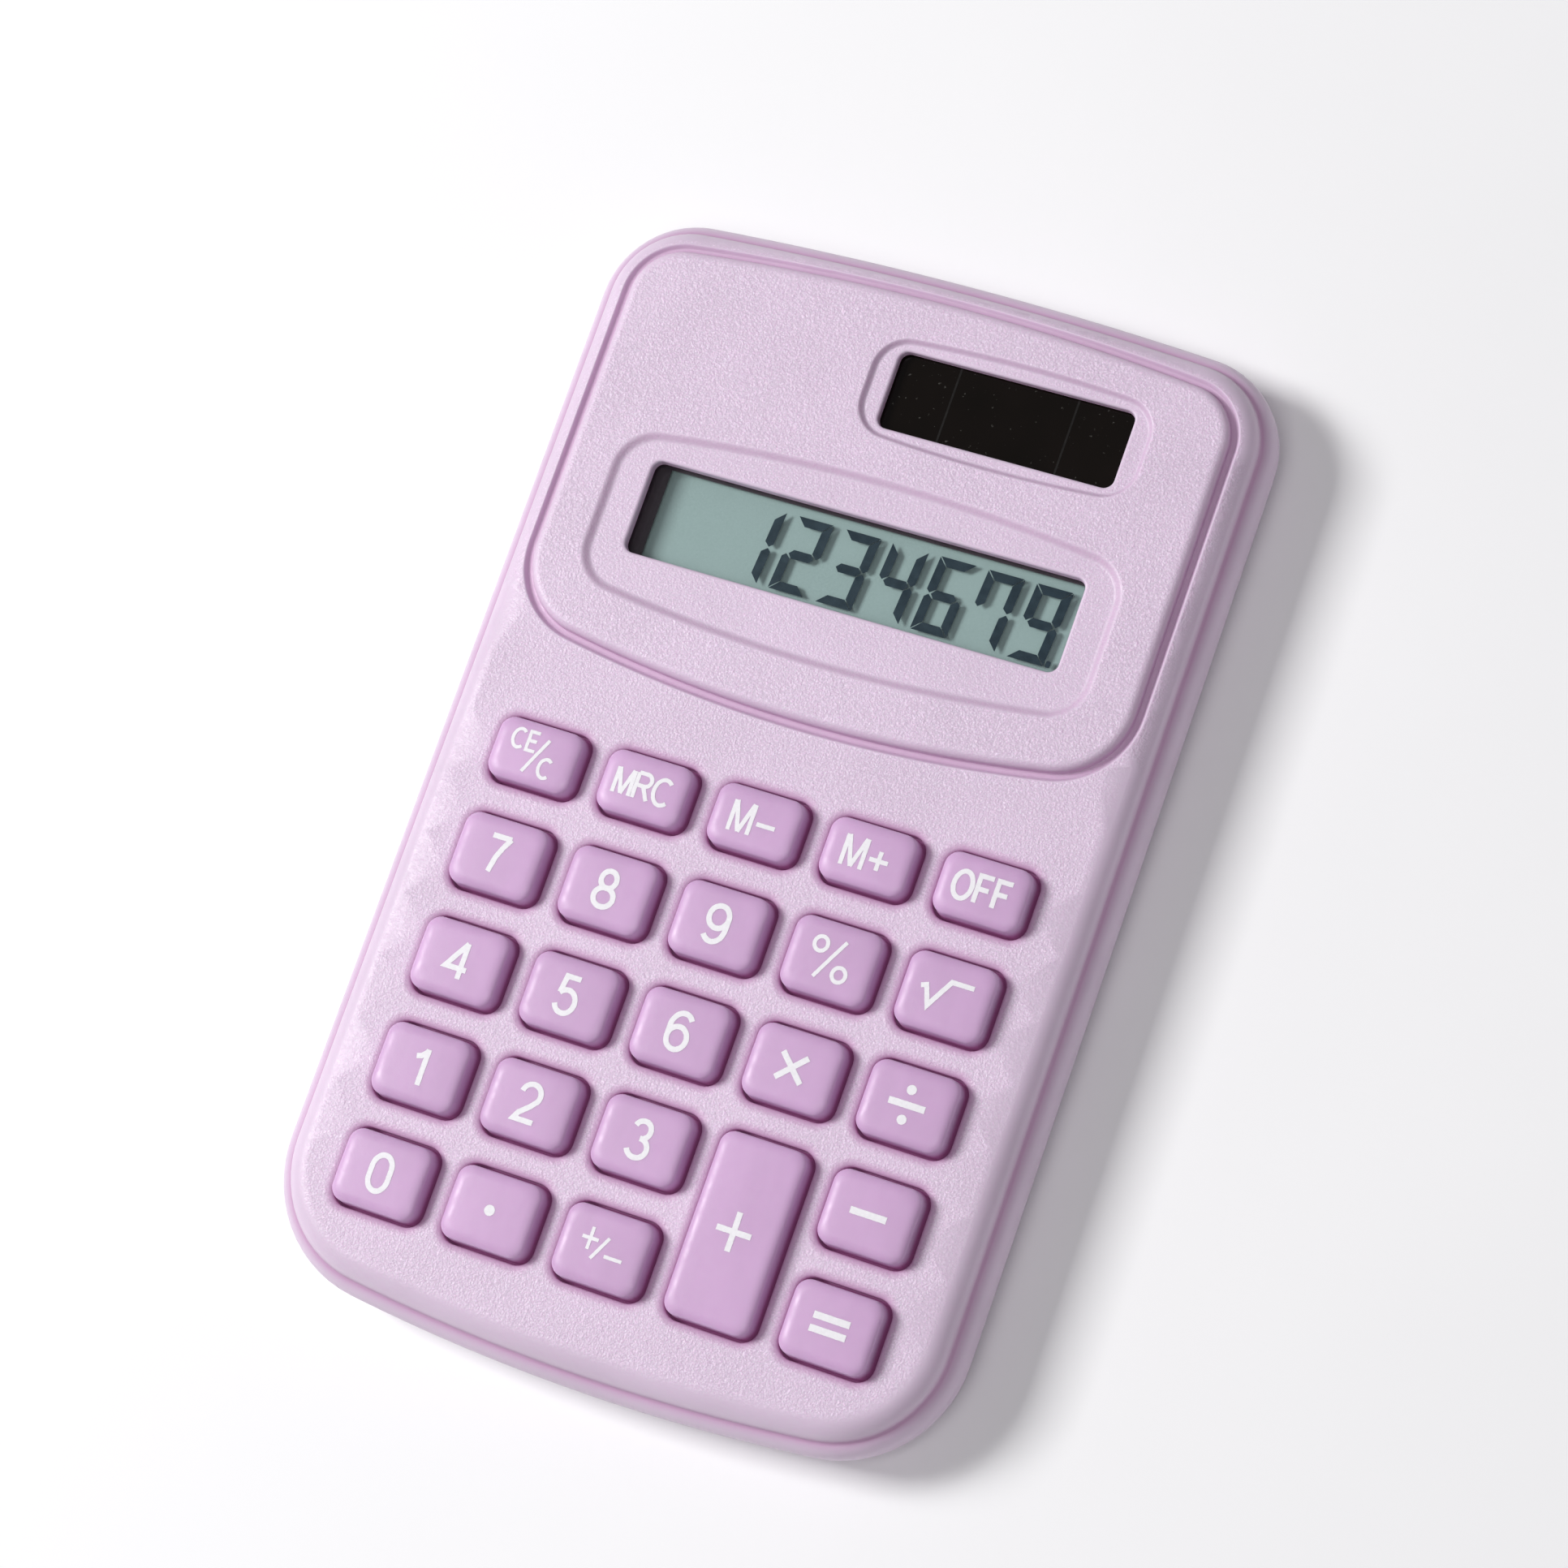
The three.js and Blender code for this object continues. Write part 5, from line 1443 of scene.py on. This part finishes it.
class CALCULATOR_OT_battery_door(PieceOperator, bpy.types.Operator):
    """Battery door: the door's plate and rails met with the back's round edge, with rounded grip grooves"""

    bl_idname = "calculator.battery_door"
    bl_label = "Battery door"

    def execute(self, context):
        case = context.scene.calculator_case
        skin = Skin()
        back_solid(skin, case, hollow=False)
        door = skin.build("battery_door_skin", finish("shell"))
        door_solid("door_body", 0)
        carved(door, "door_body", "INTERSECT", finish("shell"))
        low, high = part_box("battery_door")
        middle = (low.x + high.x) / 2
        grooves = [self.groove(middle, low.y + (2.75 + 1.5 * number) * MM) for number in range(4)]
        merged(grooves).build("grooves", finish("shell"))
        carved(door, "grooves", "DIFFERENCE", finish("shell"))
        graded(door)
        fitted(door, body_of("battery_door"), "shell_plastic", "battery_door")
        return {"FINISHED"}

    def groove(self, x, y):
        """A round-ended groove whose section is part of an ellipse."""
        skin = Skin()
        steps = np.linspace(0, QUARTER, 6)
        profile = marked(0.35 * MM * (1 - np.cos(steps)), 0.3 * MM * np.sin(steps), 0, 0)[:-1]
        profile = np.vstack([rows((0, -1 * MM)), profile])

        def shape(inset):
            return rounded_rectangle(x, y, 4 * MM - inset, 0.352 * MM - inset, 0.35 * MM - inset)

        first, last = skin.loft(shape, profile)
        skin.flat(first, up=False)
        skin.flat(last)
        return skin


class CALCULATOR_OT_display(PieceOperator, bpy.types.Operator):
    """Display: a clear cover, thin dark segments under it and the reflector that they throw a shadow on"""

    bl_idname = "calculator.display"
    bl_label = "Display"

    def execute(self, context):
        display = context.scene.calculator_display
        body = body_of("display_front_glass")
        glass_low, glass_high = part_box("display_front_glass")
        film_low, film_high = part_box("display_front_polariser")
        cover = Skin()
        wide = rectangle(glass_low.x, glass_high.x, glass_low.y, glass_high.y)
        narrow = rectangle(film_low.x, film_high.x, film_low.y, film_high.y)
        base = film_low.z
        first = cover.ring(wide, glass_low.z)
        second = cover.ring(wide, base)
        third = cover.ring(narrow, base)
        top = cover.ring(narrow, film_high.z)
        cover.band(first, second)
        cover.flat(second, [third])
        cover.band(third, top)
        cover.flat(top)
        cover.flat(first, up=False)
        cover = cover.build("display_cover", finish("cover"))
        fitted(cover, body, "display_glass", "display_front_glass", "display_front_polariser")
        self.segments(display, glass_low.z - 0.02 * MM, body)
        self.window_wall_shadow(display, glass_low.z - 0.02 * MM, body)
        self.reflector(display, glass_low.z - 0.02 * MM - display.depth, body)
        return {"FINISHED"}

    def window_wall_shadow(self, display, z, body):
        """A dark sheet at the display's left and upper edges, just under the cover: painted shadow of the
        window's walls.
        """
        low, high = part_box("display_front_glass")
        x, y, half_x, half_y = display_window(display)
        left, top = x - half_x + display.shadow_left, y + half_y - display.shadow_top
        outline = [(low.x, low.y), (left, low.y), (left, top), (high.x, top), (high.x, high.y),
                   (low.x, high.y)]
        painted_shadow = prism(np.array(outline), z - 0.06 * MM, z)
        fitted(painted_shadow.build("display_seal", finish("painted_shadow")), body, "polariser_film")

    def reflector(self, display, z, body):
        low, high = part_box("display_rear_glass")
        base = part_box("display_reflector")[0].z
        slab = prism(rectangle(low.x, high.x, low.y, high.y), base, z, 0.05 * MM)
        slab = slab.build("display_reflector_slab", finish("reflector"))
        fitted(slab, body, "polariser_film", "display_rear_glass", "display_reflector")

    def segments(self, display, z, body):
        """Seven pointed bars a digit, leaning, as one mesh."""
        skins = []
        _, middle, _, _ = display_window(display)
        middle -= display.digit_drop
        for place, digit in enumerate(reversed(display.reading)):
            right = display.digits_right - place * display.digit_pitch
            for shape in self.digit_shapes(digit, display):
                lean = display.slant * (shape[:, UP] / display.digit_height)
                across = right - display.digit_width / 2 + lean
                outline = shape + np.column_stack([across, np.full(len(shape), middle)])
                skins.append(prism(outline, z - 0.03 * MM, z))
        base = middle - display.digit_height / 2
        point = rounded_rectangle(display.digits_right + 0.12 * MM, base + 0.28 * MM,
                                  0.2 * MM, 0.28 * MM, 0.1 * MM, 3, 2)
        skins.append(prism(point, z - 0.03 * MM, z))
        made = merged(skins).build("display_segments", finish("segment"))
        fitted(made, body, "display_segment")

    def digit_shapes(self, digit, display):
        """The outlines of a digit's lit segments about its middle, each with mitred ends."""
        half_x, half_y = display.digit_width / 2, display.digit_height / 2
        width, gap = display.segment, 0.06 * MM
        lit = {"0": "abcdef", "1": "bc", "2": "abdeg", "3": "abcdg", "4": "bcfg", "5": "acdfg",
               "6": "acdefg", "7": "abcf", "8": "abcdefg", "9": "abcdfg"}[digit]
        bar = width / 2
        inner = half_x - width - gap
        level = np.array([(-half_x + gap, half_y), (half_x - gap, half_y), (inner, half_y - width),
                          (-inner, half_y - width)])
        upright = np.array([(half_x, half_y - gap), (half_x, gap + width * 0.35), (half_x - width * 0.4, gap),
                            (half_x - width, bar + gap), (half_x - width, half_y - width - gap)])
        half_bar = [(-half_x + width * 0.55 + gap, 0), (-inner, bar), (inner, bar)]
        shapes = {"a": level, "d": -level, "b": upright, "c": upright * [1, -1], "e": -upright,
                  "f": upright * [-1, 1], "g": np.vstack([half_bar, np.negative(half_bar)])}
        return [ccw(shapes[name]) for name in lit]


class CALCULATOR_OT_solar_cell(PieceOperator, bpy.types.Operator):
    """Solar cell: dark film on a glass plate, divided by fine lines"""

    bl_idname = "calculator.solar_cell"
    bl_label = "Solar cell"

    def execute(self, context):
        display = context.scene.calculator_display
        low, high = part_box("solar_cell")
        body = body_of("solar_cell")
        slab = prism(rectangle(low.x, high.x, low.y, high.y), low.z, high.z - 0.02 * MM, 0.12 * MM)
        fitted(slab.build("solar_plate", finish("solar")), body, "solar_glass", "solar_cell")
        x, y, half_x, half_y = solar_window(display)
        lines = [prism(rectangle(at - 0.09 * MM, at + 0.09 * MM, y - half_y - 1 * MM, y + half_y + 1 * MM),
                       high.z - 0.05 * MM, high.z - 0.005 * MM) for at in (x - half_x / 2, x + half_x / 2)]
        fitted(merged(lines).build("solar_lines", finish("solar_line")), body, "solar_glass")
        return {"FINISHED"}


class CALCULATOR_OT_screws(PieceOperator, bpy.types.Operator):
    """Screws: a round-edged head turned about its axis, a cross recess and a shank with rounded threads"""

    bl_idname = "calculator.screws"
    bl_label = "Screws"

    def execute(self, context):
        for kind in (CASE_SCREWS, BOARD_SCREWS):
            low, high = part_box(kind[0])
            pattern = self.screw((high.x - low.x) / 2, high.z - low.z)
            for node in kind:
                data = pattern.data.copy()
                data.transform(Matrix.Translation((*centre(node)[:2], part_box(node)[0].z)))
                made = bpy.data.objects.new(node + "_turned", data)
                context.scene.collection.objects.link(made)
                fitted(made, body_of(node), "screw_steel", node)
            bpy.data.objects.remove(pattern)
        return {"FINISHED"}

    def screw(self, head, tip):
        """A screw standing on its head at the origin."""
        shank, rise, lead = 0.8 * MM, 0.9 * MM, 0.55 * MM
        angle = np.linspace(QUARTER, 0, 9)
        dome = marked(head * (0.45 + 0.55 * np.cos(angle)), 0.45 * MM * (1 - np.sin(angle)), 0, 0)
        under = rows((head, rise - 0.05 * MM), (head - 0.05 * MM, rise), (shank, rise))
        heights = np.arange(rise + 0.1 * MM, tip - 0.4 * MM, lead / 5)
        thread = marked(shank - 0.055 * MM * (1 + np.cos(heights * TURN / lead)), heights, 0, 0)
        end = rows((shank * 0.75, tip - 0.3 * MM), (shank * 0.3, tip))
        skin = Skin()
        profile = np.vstack([dome, under, thread, end])
        first, last = skin.loft(lambda radius: circle(0, 0, radius, 32), profile)
        skin.flat(first, up=False)
        skin.flat(last)
        made = skin.build("screw_pattern", finish("screw"))
        long, thin = head * 0.6, head * 0.15
        quarter = np.array([(long, -thin), (long, thin), (thin, thin)])
        cross = np.vstack([quarter @ [[c, s], [-s, c]] for c, s in ((1, 0), (0, 1), (-1, 0), (0, -1))])
        recess = Skin()
        profile = rows((1, -0.5 * MM), (1, 0.05 * MM), (0.7, 0.5 * MM))
        ends = recess.loft(lambda share: cross * share, profile)
        recess.flat(ends[0], up=False)
        recess.flat(ends[1])
        recess.build("cross_recess", finish("screw"))
        return carved(made, "cross_recess", "DIFFERENCE", finish("screw"))


class CALCULATOR_OT_keypad_mat(PieceOperator, bpy.types.Operator):
    """Keypad mat: a sheet with a hole under each key, and bells turned about the keys' axes"""

    bl_idname = "calculator.keypad_mat"
    bl_label = "Keypad mat"

    def execute(self, context):
        keys = context.scene.calculator_keys
        low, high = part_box("keypad_mat")
        top = low.z + keys.mat_thick
        sheet = Skin()
        middle, half = (low + high) / 2, (high - low) / 2
        profile = rows((0.08 * MM, low.z), (0, low.z + 0.08 * MM), (0, top - 0.08 * MM), (0.08 * MM, top))

        def shape(inset):
            return rounded_rectangle(middle.x, middle.y, half.x - inset, half.y - inset, 2 * MM - inset)

        under, over = sheet.loft(shape, profile)
        holes = []
        for node in KEY_NODES:
            place = circle(*centre(node)[:2], keys.dome_base - keys.dome_wall, 32)
            first, last = sheet.ring(place, top), sheet.ring(place, low.z)
            sheet.band(first, last)
            holes.append((first, last))
        sheet.flat(over, [first for first, _ in holes])
        sheet.flat(under, [last for _, last in holes], up=False)
        body = body_of("keypad_mat")
        fitted(sheet.build("keypad_sheet", finish("silicone")), body, "silicone", "keypad_mat")
        for node in KEY_NODES:
            self.dome(node, keys, top, high.z, body)
        return {"FINISHED"}

    def dome(self, node, keys, base, top, body):
        """The bell's radius falls from its base to its top as the height's share to the power 0.7."""
        x, y = centre(node)[:2]
        share = np.linspace(0, 1, 12)
        fall = keys.dome_base - keys.dome_top
        outside = marked(keys.dome_base - fall * share**0.7, base + (top - 0.1 * MM - base) * share, 0, 0)
        hollow = outside[7::-1] - [keys.dome_wall, 0, 0, 0]
        last = rows((keys.dome_top - 0.1 * MM, top))
        skin = Skin()
        first, last = skin.loft(lambda radius: circle(x, y, radius, 32), np.vstack([hollow, outside, last]))
        skin.flat(first, up=False)
        skin.flat(last)
        made = skin.build(node.replace("key", "dome"), finish("silicone"))
        fitted(made, body, "silicone")
        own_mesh(made)


class CALCULATOR_OT_inside(PieceOperator, bpy.types.Operator):
    """Inside pieces: finishes for the pieces that the shells hide"""

    bl_idname = "calculator.inside"
    bl_label = "Inside pieces"

    def execute(self, context):
        finishes = {
            "circuit_board": "board", "chip_blob": "epoxy", "capacitor": "black",
            "clamp_diode": "red", "display_contact_strip": "rubber", "display_foam": "foam",
            "solar_lead_plus": "red", "solar_lead_minus": "black", "battery_cell": "cell",
            "battery_contact_plus": "contact", "battery_contact_minus": "contact",
        }
        for node, name in finishes.items():
            data = frame["nodes"][node].data
            data.materials.clear()
            data.materials.append(finish(name))
        return {"FINISHED"}


class CALCULATOR_OT_stage(PieceOperator, bpy.types.Operator):
    """Stage: a pale floor, a long lens above the face, a broad light overhead and a low one on the left"""

    bl_idname = "calculator.stage"
    bl_label = "Stage"

    def execute(self, context):
        stage = context.scene.calculator_stage
        self.floor(stage)
        self.lights(context.scene, stage)
        self.camera(context.scene, stage)
        context.scene.view_settings.view_transform = "Standard"
        return {"FINISHED"}

    def floor(self, stage):
        half = stage.floor_size / 2
        data = bpy.data.meshes.new("floor")
        corners = [(*corner, 0) for corner in rectangle(-half, half, -half, half)]
        data.from_pydata(corners, [], [(0, 1, 2, 3)])
        data.materials.append(finish("floor"))
        made = bpy.data.objects.new("floor", data)
        bpy.context.scene.collection.objects.link(made)

    def lights(self, scene, stage):
        world = bpy.data.worlds.new("surroundings")
        world.use_nodes = True
        background = world.node_tree.nodes["Background"]
        background.inputs["Color"].default_value = (*stage.ambient, 1)
        background.inputs["Strength"].default_value = stage.ambient_strength
        scene.world = world
        self.area("key_light", Vector((-0.69, -0.02, 0.72)).normalized() * 0.8, 0.26, stage.key_light)
        self.area("fill_light", Vector((0.16, -0.22, 0.96)).normalized() * 0.9, 0.42, stage.fill_light)

    def area(self, name, place, side_length, power):
        """A square light that faces the origin."""
        data = bpy.data.lights.new(name, "AREA")
        data.size = side_length
        data.energy = power
        made = bpy.data.objects.new(name, data)
        made.location = place
        made.rotation_euler = place.to_track_quat("Z", "Y").to_euler()
        bpy.context.scene.collection.objects.link(made)

    def camera(self, scene, stage):
        data = bpy.data.cameras.new("camera")
        data.sensor_width = 36
        data.lens = stage.lens
        data.clip_start = 0.01
        made = bpy.data.objects.new("camera", data)
        made.location = stage.camera_place
        made.rotation_euler = stage.camera_turn
        scene.collection.objects.link(made)
        scene.camera = made


# ---------------------------------------- panel and registration

PIECES = (
    CALCULATOR_OT_front_shell, CALCULATOR_OT_back_shell, CALCULATOR_OT_battery_door,
    CALCULATOR_OT_keys, CALCULATOR_OT_legends, CALCULATOR_OT_display, CALCULATOR_OT_solar_cell,
    CALCULATOR_OT_screws, CALCULATOR_OT_keypad_mat, CALCULATOR_OT_inside, CALCULATOR_OT_stage,
)
SETTINGS = {"calculator_case": CalculatorCase, "calculator_keys": CalculatorKeys,
            "calculator_display": CalculatorDisplay, "calculator_finish": CalculatorFinish,
            "calculator_stage": CalculatorStage}


class CALCULATOR_PT_build(bpy.types.Panel):
    """Lists the calculator's pieces and the stage"""

    bl_idname = "CALCULATOR_PT_build"
    bl_label = "Pocket calculator"
    bl_space_type = "VIEW_3D"
    bl_region_type = "UI"
    bl_category = "Calculator"

    def draw(self, context):
        for piece in PIECES:
            self.layout.operator(piece.bl_idname)


def register():
    for group in (*SETTINGS.values(), *PIECES, CALCULATOR_PT_build):
        bpy.utils.register_class(group)
    for name, group in SETTINGS.items():
        setattr(bpy.types.Scene, name, PointerProperty(type=group))


def unregister():
    for name in SETTINGS:
        delattr(bpy.types.Scene, name)
    for group in (CALCULATOR_PT_build, *reversed(PIECES), *reversed(SETTINGS.values())):
        bpy.utils.unregister_class(group)


def main():
    register()
    for piece in PIECES:
        name = piece.bl_idname.removeprefix("calculator.")
        if getattr(bpy.ops.calculator, name)() != {"FINISHED"}:
            raise RuntimeError(f"{piece.bl_label} did not finish")


if __name__ == "__main__":
    main()
